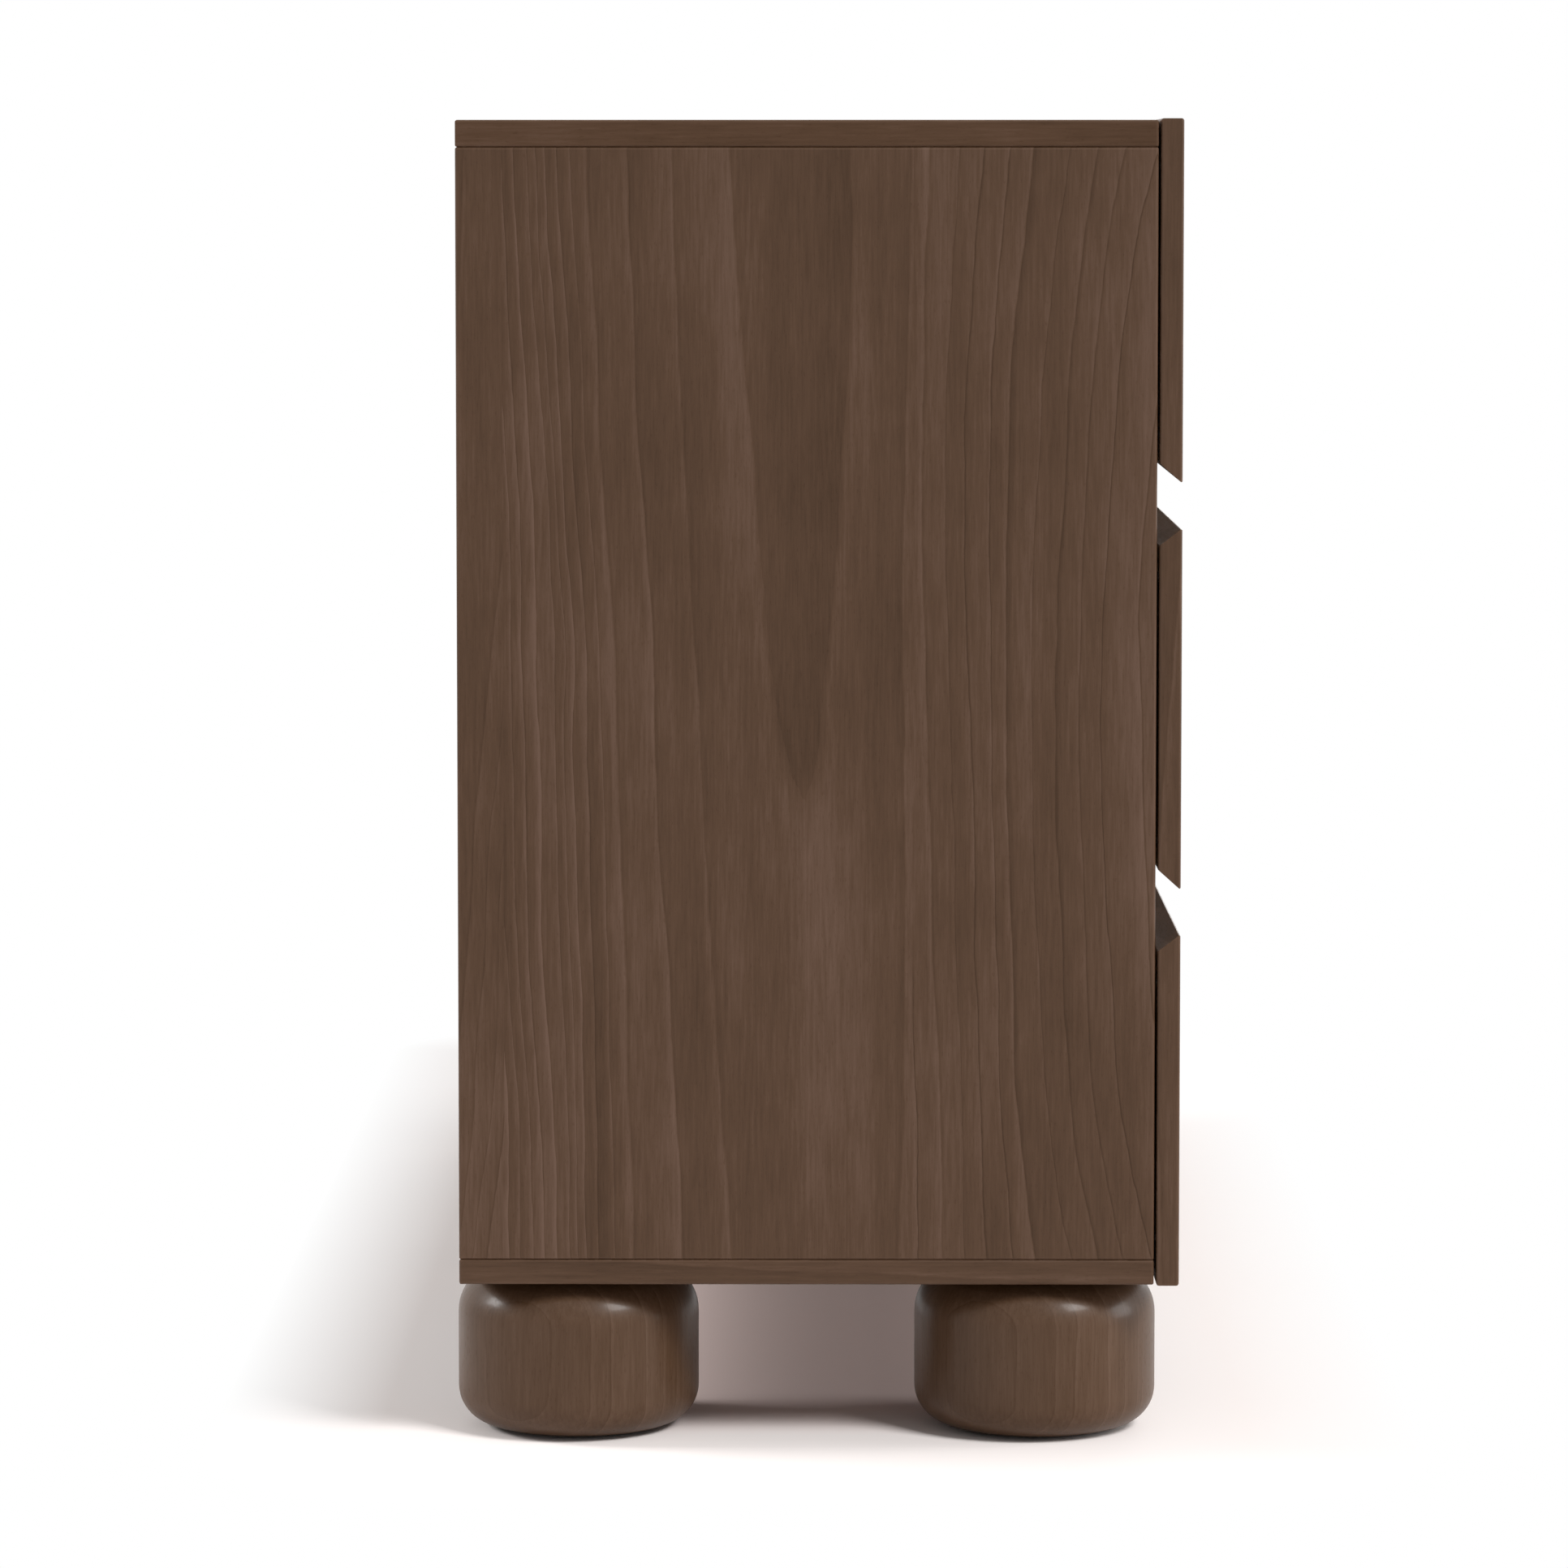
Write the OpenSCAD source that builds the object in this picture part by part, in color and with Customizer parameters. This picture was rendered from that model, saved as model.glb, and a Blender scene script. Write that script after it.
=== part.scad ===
// Six-drawer dresser on four round feet, in millimetres.
// X runs along the width, Y from the drawer fronts (-Y) to the back (+Y), Z up.
// The origin is on the floor, in the middle of the whole footprint.

/* [Case] */
// Outside width of the case
case_w = 1372; // [1000:2:1800]
// Depth of the case, from its front edges to its back edges
case_d = 441; // [400:1:560]
// Height of the side panels, between the bottom and the top panel
side_h = 704; // [640:1:820]
// Thickness of the top panel
top_t = 17; // [13:0.5:30]
// Thickness of the bottom panel
bottom_t = 16; // [13:0.5:30]
// Thickness of the side panels
side_t = 18; // [14:0.5:28]
// Thickness of the centre partition
partition_t = 18; // [14:0.5:28]
// Rounding along the edges of the case panels
edge_r = 1.6; // [0.6:0.2:3]

/* [Back panel] */
// Thickness of the back panel
back_t = 5; // [3:0.5:9]
// How far the back panel lies inside the back edges of the case
back_inset = 2; // [1:0.5:5]
// Width of the rabbet that holds the back panel
rabbet_w = 9; // [5:0.5:11]

/* [Drawer fronts] */
// Thickness of the drawer fronts
front_t = 14.5; // [12:0.5:22]
// Gap between the case and the closed drawer fronts
reveal = 1.5; // [1:0.5:4]
// Height of the finger gaps at the face, between the corners of the fronts before rounding
finger_gap = 28; // [20:0.5:42]
// Gap between the two columns of fronts
column_gap = 3; // [2:0.5:8]
// How far a bevelled upper edge falls from the face to the back of a front
upper_bevel = 11; // [7:0.5:16]
// How far a bevelled lower edge rises from the face to the back of a front
lower_bevel = 13; // [7:0.5:16]
// Height of the upper fronts
upper_front_h = 229; // [200:0.5:250]
// Height of the middle fronts
middle_front_h = 229; // [200:0.5:250]
// How far the upper fronts stand above the top panel
front_over_top = 1; // [0:0.5:4]
// How far the lower fronts reach below the bottom panel
front_below_bottom = 0.5; // [0:0.5:4]
// Rounding of the square edges of the fronts
front_r = 1.8; // [0.6:0.2:3]
// Rounding of the bevelled edges of the fronts
bevel_r = 0.8; // [0.4:0.2:1.6]

/* [Front rails] */
// Thickness of the rails behind the finger gaps
rail_t = 18; // [12:0.5:26]
// How far the rails lie behind the front edges of the case
rail_recess = 12; // [4:0.5:24]
// Clearance above and below a rail, up to the backs of the fronts
rail_space = 4; // [3:0.5:8]

/* [Drawer boxes] */
// Thickness of the box sides
box_side_t = 12; // [10:0.5:16]
// Thickness of the board behind the drawer front
box_front_t = 15; // [12:0.5:20]
// Thickness of the box back
box_back_t = 12; // [9:0.5:16]
// Thickness of the box bottom
box_bottom_t = 5; // [3:0.5:8]
// Height of the box bottom above the lower edges of the box
bottom_lift = 10; // [7:0.5:16]
// Depth of the grooves that hold the box bottom
groove_d = 5; // [3:0.5:6]
// Depth of the housings that hold the box back
housing_d = 4; // [2:0.5:6]
// Space under each box
box_low_space = 4; // [3:0.5:8]
// Space over each box
box_top_space = 22; // [8:0.5:34]
// Space between the box backs and the back panel
box_rear_space = 16; // [8:0.5:30]
// Rounding along the top edges of the box
box_edge_r = 2; // [0.5:0.5:3]

/* [Dovetails] */
// Number of tails on the front end of a box side
tail_count = 4; // [2:1:6]
// How deep the tails enter the box front
tail_l = 9; // [6:0.5:11]
// Width left between two tails at their roots
pin_w = 12; // [8:0.5:18]
// How much a tail widens on each side towards its end
tail_flare = 2; // [1:0.5:3]

/* [Runners] */
// Space between a box and the case, filled by the runner
runner_space = 13; // [12:0.5:16]
// Height of the case member of a runner
runner_h = 45; // [40:1:52]
// Sheet thickness of the runner members
sheet_t = 1.2; // [1:0.1:1.4]
// Gap between the nested webs of the runner members
web_gap = 1.2; // [1.1:0.1:1.6]
// Length of the lips that keep the balls in their race
lip_l = 2.1; // [1.2:0.1:2.4]
// Diameter of the balls
ball_d = 3; // [2.6:0.1:3.4]
// Play between a ball and its races
ball_play = 0.3; // [0.2:0.05:0.4]
// Number of balls in each row of a cage
ball_count = 6; // [3:1:9]
// Distance between neighbouring balls
ball_pitch = 22; // [14:1:24]
// Sheet thickness of a ball cage
cage_t = 0.5; // [0.4:0.05:0.6]
// How far the runners start behind the front edges of the case
runner_setback = 3; // [2:0.5:8]
// Space between the runners and the back panel
runner_rear_space = 31; // [10:1:60]

/* [Runner holes and stops] */
// Diameter of the screw holes in the case and drawer members
screw_hole_d = 4.4; // [3.6:0.1:5]
// Length of the slotted screw holes
slot_l = 9; // [6:0.5:12]
// Diameter of the windows in the middle members, behind which the slotted holes lie
window_d = 14; // [10:0.5:16]
// Distance of the round holes from the ends of a runner
hole_end = 34; // [25:1:50]
// Distance of the slotted holes from the middle of a runner
slot_out = 52; // [30:1:80]
// Width of the stop lugs at the ends of the runners
stop_w = 14; // [8:1:18]
// Play between the closed middle members and the stop lugs
stop_play = 0.5; // [0.3:0.1:1.5]

/* [Feet] */
// Diameter of the feet
foot_d = 155.5; // [120:0.5:180]
// Height of the feet without their glides
foot_h = 102; // [80:1:140]
// Rounding of the upper rim of the feet
foot_top_r = 30; // [10:1:36]
// Rounding of the lower rim of the feet
foot_low_r = 28; // [10:1:36]
// How far the feet stand out past the front and back edges of the case
foot_over = 4.8; // [0:0.2:12]
// How far the feet lie inside the side panels
foot_inset = 0; // [0:1:60]
// Diameter of the support leg under the partition
leg_d = 52; // [36:1:80]
// Rounding of the rims of the support leg
leg_r = 6; // [2:1:12]
// Thickness of the glides
glide_t = 2; // [1:0.5:5]
// Width of the foot's flat underside left around a glide
glide_margin = 5; // [2:0.5:10]

/* [Foot bolts] */
// Diameter of the bolts that hold the feet
bolt_d = 8; // [6:1:12]
// How deep the bolts reach into the feet
bolt_reach = 45; // [25:1:70]
// Diameter of the bolt heads
head_d = 22; // [16:1:30]
// Thickness of the bolt heads
head_t = 3; // [2:0.5:5]
// Clearance around bolts and bolt heads
bolt_play = 0.3; // [0.2:0.1:0.6]

/* [Hidden] */
$fn = 64;

ROWS = ["upper", "middle", "lower"];
COLUMNS = ["left", "right"];
DRAWER_PIECES = ["front", "box_front", "box_sides", "box_back", "box_bottom", "runners", "runner_middles"];

WALNUT = [0.36, 0.27, 0.22];
BIRCH = [0.80, 0.68, 0.51];
PLY = [0.84, 0.74, 0.58];
STEEL = [0.70, 0.72, 0.74];
GLIDE = [0.12, 0.11, 0.10];

// Cuts run this far past the faces they open
cut = 1;

// Heights above the floor
z_under = glide_t + foot_h;
z_floor = z_under + bottom_t;
z_ceiling = z_floor + side_h;
z_top = z_ceiling + top_t;

// Depths: the footprint reaches from the drawer fronts to the rear feet
y_rear = (case_d + reveal + front_t - foot_over) / 2;
y_edge = y_rear - case_d;
y_box = y_edge - reveal;
y_face = y_box - front_t;
y_back = y_rear - back_inset - back_t;

// Widths: the bays of the two columns are mirror images
bay_in = partition_t / 2;
bay_out = case_w / 2 - side_t;
bay_mid = (bay_in + bay_out) / 2;
function side_of(column) = column == 0 ? -1 : 1;
function column_mid(column) = side_of(column) * bay_mid;

// Drawer fronts, from the upper row down
front_hi = [
    z_top + front_over_top,
    z_top + front_over_top - upper_front_h - finger_gap,
    z_top + front_over_top - upper_front_h - middle_front_h - 2 * finger_gap
];
front_lo = [
    front_hi[0] - upper_front_h,
    front_hi[1] - middle_front_h,
    z_under - front_below_bottom
];
front_w = (case_w - column_gap) / 2;

// Rails lie midway between the back edges of the fronts above and below
rail_h = finger_gap + lower_bevel + upper_bevel - 2 * rail_space;
rail_mid = [for (gap = [0, 1]) (front_lo[gap] + lower_bevel + front_hi[gap + 1] - upper_bevel) / 2];
bay_lo = [rail_mid[0] + rail_h / 2, rail_mid[1] + rail_h / 2, z_floor];
bay_hi = [z_ceiling, rail_mid[0] - rail_h / 2, rail_mid[1] - rail_h / 2];

// Drawer boxes
box_half = (bay_out - bay_in) / 2 - runner_space;
inner_half = box_half - box_side_t;
y_inner = y_box + box_front_t;
y_box_end = y_back - box_rear_space;
function box_lo(row) = bay_lo[row] + box_low_space;
function box_hi(row) = bay_hi[row] - box_top_space;
function bottom_lo(row) = box_lo(row) + bottom_lift;
function bottom_hi(row) = bottom_lo(row) + box_bottom_t;

// Runner sections: u counts from the case wall towards the box, v from the middle of the height
race = ball_d + 2 * ball_play;
middle_web = sheet_t + web_gap;
middle_tip = runner_space - sheet_t - web_gap;
case_tip = middle_tip - sheet_t;
drawer_tip = middle_web + sheet_t + web_gap;
case_half = runner_h / 2;
middle_half = case_half - sheet_t - race;
drawer_half = middle_half - sheet_t - race;
runner_l = y_back - y_edge - runner_setback - runner_rear_space;
y_runner = y_edge + runner_setback;
y_runner_end = y_runner + runner_l;
y_runner_middle = y_runner + runner_l / 2;
function runner_mid(row) = (box_lo(row) + box_hi(row)) / 2;

// Feet and support leg
foot_x = case_w / 2 - foot_inset - foot_d / 2;
foot_front_y = y_edge - foot_over + foot_d / 2;
foot_rear_y = y_rear + foot_over - foot_d / 2;
leg_y = (y_edge + y_rear) / 2;
stands = [
    [-foot_x, foot_front_y],
    [foot_x, foot_front_y],
    [-foot_x, foot_rear_y],
    [foot_x, foot_rear_y],
    [0, leg_y]
];

// Points of an arc that rounds the corner at b, between its neighbours a and c
function unit(v) = v / norm(v);
function corner_arc(a, b, c, r, steps = 5) =
    let (
        to_a = unit(a - b),
        to_c = unit(c - b),
        half = acos(to_a * to_c) / 2,
        centre = b + unit(to_a + to_c) * r / sin(half),
        from = b + to_a * r / tan(half) - centre,
        to = b + to_c * r / tan(half) - centre,
        turn = cross(from, to) > 0 ? 1 : -1
    )
    [for (i = [0:steps])
        let (angle = turn * (180 - 2 * half) * i / steps)
        centre + [
            from.x * cos(angle) - from.y * sin(angle),
            from.x * sin(angle) + from.y * cos(angle)
        ]
    ];

// An outline whose corners are all rounded, each with its own radius
function rounded(points, radii) =
    let (n = len(points))
    [for (i = [0:n - 1])
        each corner_arc(points[(i + n - 1) % n], points[i], points[(i + 1) % n], radii[i])
    ];

// Extrusions of a flat shape along one axis, between two positions
module along_x(from, to) {
    translate([from, 0, 0]) rotate([90, 0, 90]) linear_extrude(to - from) children();
}

module along_y(from, to) {
    translate([0, to, 0]) rotate([90, 0, 0]) linear_extrude(to - from) children();
}

module along_z(from, to) {
    translate([0, 0, from]) linear_extrude(to - from) children();
}

// A plain block between two opposite corners
module block(lo, hi) {
    translate(lo) cube(hi - lo);
}

// A rectangle with round corners
module rounded_rect(lo, hi, r) {
    translate([lo.x + r, lo.y]) square([hi.x - lo.x - 2 * r, hi.y - lo.y]);
    translate([lo.x, lo.y + r]) square([hi.x - lo.x, hi.y - lo.y - 2 * r]);
    for (x = [lo.x + r, hi.x - r], y = [lo.y + r, hi.y - r]) translate([x, y]) circle(r);
}

// A rectangle with its two upper corners rounded
module round_topped(lo, hi, r) {
    translate(lo) square([hi.x - lo.x, hi.y - lo.y - r]);
    translate([lo.x + r, lo.y]) square([hi.x - lo.x - 2 * r, hi.y - lo.y]);
    for (x = [lo.x + r, hi.x - r]) translate([x, hi.y - r]) circle(r);
}

// A board with every edge rounded
module eased_board(lo, hi) {
    intersection() {
        along_x(lo.x, hi.x) rounded_rect([lo.y, lo.z], [hi.y, hi.z], edge_r);
        along_y(lo.y, hi.y) rounded_rect([lo.x, lo.z], [hi.x, hi.z], edge_r);
        along_z(lo.z, hi.z) rounded_rect([lo.x, lo.y], [hi.x, hi.y], edge_r);
    }
}

// The back panel's outline, also the rabbet cut for it in the case
module back_outline() {
    translate([-bay_out - rabbet_w, z_floor - rabbet_w])
        square([2 * (bay_out + rabbet_w), side_h + 2 * rabbet_w]);
}

module rabbet() {
    along_y(y_back, y_rear + cut) back_outline();
}

// Holes in the bottom panel for the bolts and their sunk heads
module bolt_holes() {
    for (place = stands) translate([place.x, place.y, 0]) {
        translate([0, 0, z_under - cut]) cylinder(d = bolt_d + 2 * bolt_play, h = bottom_t + 2 * cut);
        translate([0, 0, z_floor - head_t]) cylinder(d = head_d + 2 * bolt_play, h = head_t + cut);
    }
}

// Case
module top_panel() {
    color(WALNUT) difference() {
        eased_board([-case_w / 2, y_edge, z_ceiling], [case_w / 2, y_rear, z_top]);
        rabbet();
    }
}

module bottom_panel() {
    color(WALNUT) difference() {
        eased_board([-case_w / 2, y_edge, z_under], [case_w / 2, y_rear, z_floor]);
        rabbet();
        bolt_holes();
    }
}

module side_panel(column) {
    outer = side_of(column) * case_w / 2;
    inner = side_of(column) * bay_out;
    color(WALNUT) difference() {
        eased_board([min(outer, inner), y_edge, z_floor], [max(outer, inner), y_rear, z_ceiling]);
        rabbet();
    }
}

module centre_partition() {
    color(WALNUT) block([-bay_in, y_edge, z_floor], [bay_in, y_back, z_ceiling]);
}

module back_panel() {
    color(WALNUT) along_y(y_back, y_back + back_t) back_outline();
}

// One rail behind a finger gap
module front_rail(gap, column) {
    ends = side_of(column) * [bay_in, bay_out];
    color(WALNUT) along_x(min(ends), max(ends)) rounded_rect(
        [y_edge + rail_recess, rail_mid[gap] - rail_h / 2],
        [y_edge + rail_recess + rail_t, rail_mid[gap] + rail_h / 2],
        edge_r
    );
}

// Drawer fronts: square edges at the top and the foot of the stack, bevels at the finger gaps
module drawer_front(row, column) {
    inner = side_of(column) * column_gap / 2;
    outer = inner + side_of(column) * front_w;
    top_fall = row == 0 ? 0 : upper_bevel;
    low_rise = row == 2 ? 0 : lower_bevel;
    top_r = row == 0 ? front_r : bevel_r;
    low_r = row == 2 ? front_r : bevel_r;
    outline = [
        [y_face, front_lo[row]],
        [y_box, front_lo[row] + low_rise],
        [y_box, front_hi[row] - top_fall],
        [y_face, front_hi[row]]
    ];
    color(WALNUT) intersection() {
        along_x(min(inner, outer), max(inner, outer))
            polygon(rounded(outline, [low_r, low_r, top_r, top_r]));
        along_z(front_lo[row] - cut, front_hi[row] + cut)
            rounded_rect([min(inner, outer), y_face], [max(inner, outer), y_box], front_r);
    }
}

// Tails on the front end of both box sides, also the sockets cut for them in the box front
module tails(row, column) {
    pitch = (box_hi(row) - box_lo(row)) / tail_count;
    root = (pitch - pin_w) / 2;
    for (end = [-1, 1], i = [0:tail_count - 1]) {
        middle = box_lo(row) + (i + 0.5) * pitch;
        faces = [for (x = [inner_half, box_half]) column_mid(column) + end * x];
        along_x(min(faces), max(faces)) polygon([
            [y_inner, middle - root],
            [y_inner, middle + root],
            [y_inner - tail_l, middle + root + tail_flare],
            [y_inner - tail_l, middle - root - tail_flare]
        ]);
    }
}

// The bottom board with its front tongue, also the groove cut for it
module bottom_board(row, column) {
    middle = column_mid(column);
    wide = inner_half + groove_d;
    block([middle - wide, y_inner, bottom_lo(row)], [middle + wide, y_box_end, bottom_hi(row)]);
    block(
        [middle - inner_half, y_inner - groove_d, bottom_lo(row)],
        [middle + inner_half, y_inner, bottom_hi(row)]
    );
}

// The box back, with its ends in the housings of the sides
module back_board(row, column) {
    middle = column_mid(column);
    along_x(middle - inner_half - housing_d, middle + inner_half + housing_d) round_topped(
        [y_box_end - box_back_t, bottom_hi(row)],
        [y_box_end, box_hi(row)],
        box_edge_r
    );
}

module box_front(row, column) {
    middle = column_mid(column);
    color(BIRCH) difference() {
        along_x(middle - box_half, middle + box_half)
            round_topped([y_box, box_lo(row)], [y_inner, box_hi(row)], box_edge_r);
        tails(row, column);
        bottom_board(row, column);
    }
}

module box_sides(row, column) {
    color(BIRCH) difference() {
        union() {
            for (end = [-1, 1]) {
                faces = [for (x = [inner_half, box_half]) column_mid(column) + end * x];
                along_y(y_inner, y_box_end)
                    round_topped([min(faces), box_lo(row)], [max(faces), box_hi(row)], box_edge_r);
            }
            tails(row, column);
        }
        bottom_board(row, column);
        back_board(row, column);
    }
}

module box_back(row, column) {
    color(BIRCH) back_board(row, column);
}

module box_bottom(row, column) {
    color(PLY) bottom_board(row, column);
}

// A runner section in u and v: a web with two flanges, and lips at their ends
module channel(web, tip, half, lip) {
    inward = tip > web ? 1 : -1;
    web_inner = web + inward * sheet_t;
    tip_inner = tip - inward * sheet_t;
    translate([min(web, web_inner), -half]) square([sheet_t, 2 * half]);
    for (side = [-1, 1]) scale([1, side]) {
        translate([min(web, tip), half - sheet_t]) square([abs(tip - web), sheet_t]);
        if (lip > 0) translate([min(tip, tip_inner), half - sheet_t - lip]) square([sheet_t, lip]);
    }
}

// Places a runner piece at both sides of a box, with u pointing from the wall to the box
module at_both_walls(row, column) {
    for (end = [-1, 1]) translate([
        column_mid(column) + end * (box_half + runner_space),
        0,
        runner_mid(row)
    ]) scale([-end, 1, 1]) children();
}

// A ball cage: a pressed strip that holds one row of balls above and one below
module ball_cage(web, tip, row_v, row_u, start) {
    length = (ball_count - 1) * ball_pitch + 2 * ball_d;
    along_y(start, start + length) {
        translate([web, -row_v - cage_t / 2]) square([cage_t, 2 * row_v + cage_t]);
        for (v = [-row_v, row_v]) translate([web, v - cage_t / 2]) square([tip - web, cage_t]);
    }
    for (v = [-row_v, row_v], i = [0:ball_count - 1])
        translate([row_u, start + ball_d + i * ball_pitch, v]) sphere(d = ball_d, $fn = 24);
}

// Screw holes through the web of a case or drawer member, with the slots turned as asked
module screw_holes(slot_turn) {
    along_x(-cut, runner_space + cut) for (end = [-1, 1]) {
        translate([y_runner_middle + end * (runner_l / 2 - hole_end), 0]) circle(d = screw_hole_d);
        translate([y_runner_middle + end * slot_out, 0]) rotate(slot_turn) {
            square([slot_l - screw_hole_d, screw_hole_d], center = true);
            for (tip = [-1, 1]) translate([tip * (slot_l - screw_hole_d) / 2, 0]) circle(d = screw_hole_d);
        }
    }
}

// Windows through the web of a middle member
module windows() {
    along_x(middle_web - cut, middle_web + sheet_t + cut)
        for (end = [-1, 1]) translate([y_runner_middle + end * slot_out, 0]) circle(d = window_d);
}

// Case members, each with a lug behind the middle member that stops it when it closes
module case_runners() {
    lug_face = y_runner_end + stop_play;
    lug_end = lug_face + sheet_t;
    color(STEEL) for (row = [0:2], column = [0, 1]) at_both_walls(row, column) difference() {
        union() {
            along_y(y_runner, y_runner_end) channel(0, case_tip, case_half, lip_l);
            block([0, y_runner_end - cut, -stop_w / 2], [sheet_t, lug_end, stop_w / 2]);
            block([0, lug_face, -stop_w / 2], [middle_tip, lug_end, stop_w / 2]);
        }
        screw_holes(0);
    }
}

// Middle members with their cages: the outer cage at the rear end, the inner one at the front
module runner_middles(row, column) {
    cage_l = (ball_count - 1) * ball_pitch + 2 * ball_d;
    outer_web = sheet_t + (web_gap - cage_t) / 2;
    inner_web = middle_web + outer_web;
    color(STEEL) at_both_walls(row, column) {
        difference() {
            along_y(y_runner, y_runner_end) channel(middle_web, middle_tip, middle_half, lip_l);
            windows();
        }
        ball_cage(
            outer_web,
            case_tip - sheet_t - ball_play,
            middle_half + race / 2,
            case_tip / 2,
            y_runner_end - cage_l
        );
        ball_cage(
            inner_web,
            middle_tip - sheet_t - ball_play,
            drawer_half + race / 2,
            (middle_web + middle_tip) / 2,
            y_runner
        );
    }
}

// Drawer members, each with a lug in front of the middle member that pushes it in
module runners(row, column) {
    lug_face = y_runner - stop_play;
    lug_end = lug_face - sheet_t;
    color(STEEL) at_both_walls(row, column) difference() {
        union() {
            along_y(y_runner, y_runner_end) channel(runner_space, drawer_tip, drawer_half, 0);
            block([runner_space - sheet_t, lug_end, -stop_w / 2], [runner_space, y_runner + cut, stop_w / 2]);
            block([middle_web, lug_end, -stop_w / 2], [runner_space, lug_face, stop_w / 2]);
        }
        screw_holes(90);
    }
}

// A turned piece with rounded rims, standing on its glide, bored for its bolt
module turned(place, d, top_r, low_r) {
    r = d / 2;
    translate([place.x, place.y, glide_t]) difference() {
        rotate_extrude() {
            square([r - max(top_r, low_r), foot_h]);
            translate([0, low_r]) square([r, foot_h - top_r - low_r]);
            square([r - low_r, foot_h / 2]);
            translate([0, foot_h / 2]) square([r - top_r, foot_h / 2]);
            translate([r - low_r, low_r]) circle(low_r);
            translate([r - top_r, foot_h - top_r]) circle(top_r);
        }
        translate([0, 0, foot_h - bolt_reach]) cylinder(d = bolt_d + 2 * bolt_play, h = bolt_reach + cut);
    }
}

module foot(corner) {
    color(WALNUT) turned(stands[corner], foot_d, foot_top_r, foot_low_r);
}

module centre_leg() {
    color(WALNUT) turned(stands[4], leg_d, leg_r, leg_r);
}

module foot_glides() {
    color(GLIDE) for (i = [0:4]) {
        flat_r = i < 4 ? foot_d / 2 - foot_low_r : leg_d / 2 - leg_r;
        translate([stands[i].x, stands[i].y, 0]) cylinder(r = flat_r - glide_margin, h = glide_t);
    }
}

// Bolts through the bottom panel, their heads sunk flush in its upper face
module foot_bolts() {
    color(STEEL) for (place = stands) translate([place.x, place.y, 0]) {
        translate([0, 0, z_under - bolt_reach + bolt_play])
            cylinder(d = bolt_d, h = bolt_reach - bolt_play + bottom_t - head_t);
        translate([0, 0, z_floor - head_t]) cylinder(d = head_d, h = head_t);
    }
}

top_panel();
bottom_panel();
side_panel(0);  // left_side_panel
side_panel(1);  // right_side_panel
centre_partition();
back_panel();
front_rail(0, 0);  // upper_left_rail
front_rail(0, 1);  // upper_right_rail
front_rail(1, 0);  // lower_left_rail
front_rail(1, 1);  // lower_right_rail
case_runners();
foot(0);  // front_left_foot
foot(1);  // front_right_foot
foot(2);  // rear_left_foot
foot(3);  // rear_right_foot
centre_leg();
foot_glides();
foot_bolts();

for (row = [0:2], column = [0, 1]) {
    drawer = str(ROWS[row], "_", COLUMNS[column]);
    drawer_front(row, column);
    box_front(row, column);
    box_sides(row, column);
    box_back(row, column);
    box_bottom(row, column);
    runners(row, column);
    runner_middles(row, column);
}
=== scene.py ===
"""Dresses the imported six-drawer dresser and sets it in a plain studio."""

import logging
import math
from dataclasses import dataclass, field, replace
from enum import Enum
from functools import reduce
from typing import Any, Iterable, Sequence

import bmesh
import bpy
from mathutils import Matrix, Vector

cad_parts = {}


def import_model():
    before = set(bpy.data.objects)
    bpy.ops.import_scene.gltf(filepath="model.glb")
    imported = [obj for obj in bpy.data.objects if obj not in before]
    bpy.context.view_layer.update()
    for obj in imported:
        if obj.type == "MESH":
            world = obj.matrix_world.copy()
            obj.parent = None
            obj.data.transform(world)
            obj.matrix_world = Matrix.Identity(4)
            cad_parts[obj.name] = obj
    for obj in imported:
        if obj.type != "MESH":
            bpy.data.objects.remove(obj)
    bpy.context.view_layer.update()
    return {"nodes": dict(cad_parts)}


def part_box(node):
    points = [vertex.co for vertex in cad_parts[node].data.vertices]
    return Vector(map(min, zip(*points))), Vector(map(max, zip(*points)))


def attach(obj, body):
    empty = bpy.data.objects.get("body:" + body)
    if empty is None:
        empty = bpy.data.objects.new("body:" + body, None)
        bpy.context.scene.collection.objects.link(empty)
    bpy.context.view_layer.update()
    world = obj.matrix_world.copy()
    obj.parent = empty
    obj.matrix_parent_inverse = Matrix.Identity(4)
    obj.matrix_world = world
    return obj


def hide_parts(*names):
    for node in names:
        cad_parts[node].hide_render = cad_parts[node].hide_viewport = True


Pair = tuple[float, float]
Triple = tuple[float, float, float]
Seat = tuple[Triple, Triple]
Colour = tuple[int, int, int]
Thing = bpy.types.Object
Material = bpy.types.Material
Shape = bmesh.types.BMesh
Socket = bpy.types.NodeSocket
Outputs = bpy.types.NodeOutputs
Value = float | int | Socket
LOG = logging.getLogger("dresser")

MM = 0.001
ROWS = ("upper", "middle", "lower")
COLUMNS = ("left", "right")
FEET = ("front_left_foot", "front_right_foot", "rear_left_foot", "rear_right_foot")
UP, BACK = (0.0, 0.0, 1.0), (0.0, 1.0, 0.0)
GREY = 0.5  # what a noise is on average
ARC_STEPS = 14


class Axis(Enum):
    """One of the three directions of the frame."""

    X = 0
    Y = 1
    Z = 2


class Drive(Enum):
    """The recess that a screw or bolt is turned by, as the number of its corners."""

    CROSS = 12
    HEXAGON = 6


class Mixed(Enum):
    """What a Mix node mixes: its data type, the inputs between factor and values, its output."""

    NUMBER = ("FLOAT", 1, 0)
    VECTOR = ("VECTOR", 3, 1)
    COLOUR = ("RGBA", 5, 2)


def linear(colour: Colour) -> tuple[float, ...]:
    """Turns a screen colour of 0 to 255 into a scene-linear one with an alpha of 1."""
    parts = (c / 255 for c in colour)
    return (*(c / 12.92 if c <= 0.04045 else ((c + 0.055) / 1.055) ** 2.4 for c in parts), 1.0)


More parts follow.
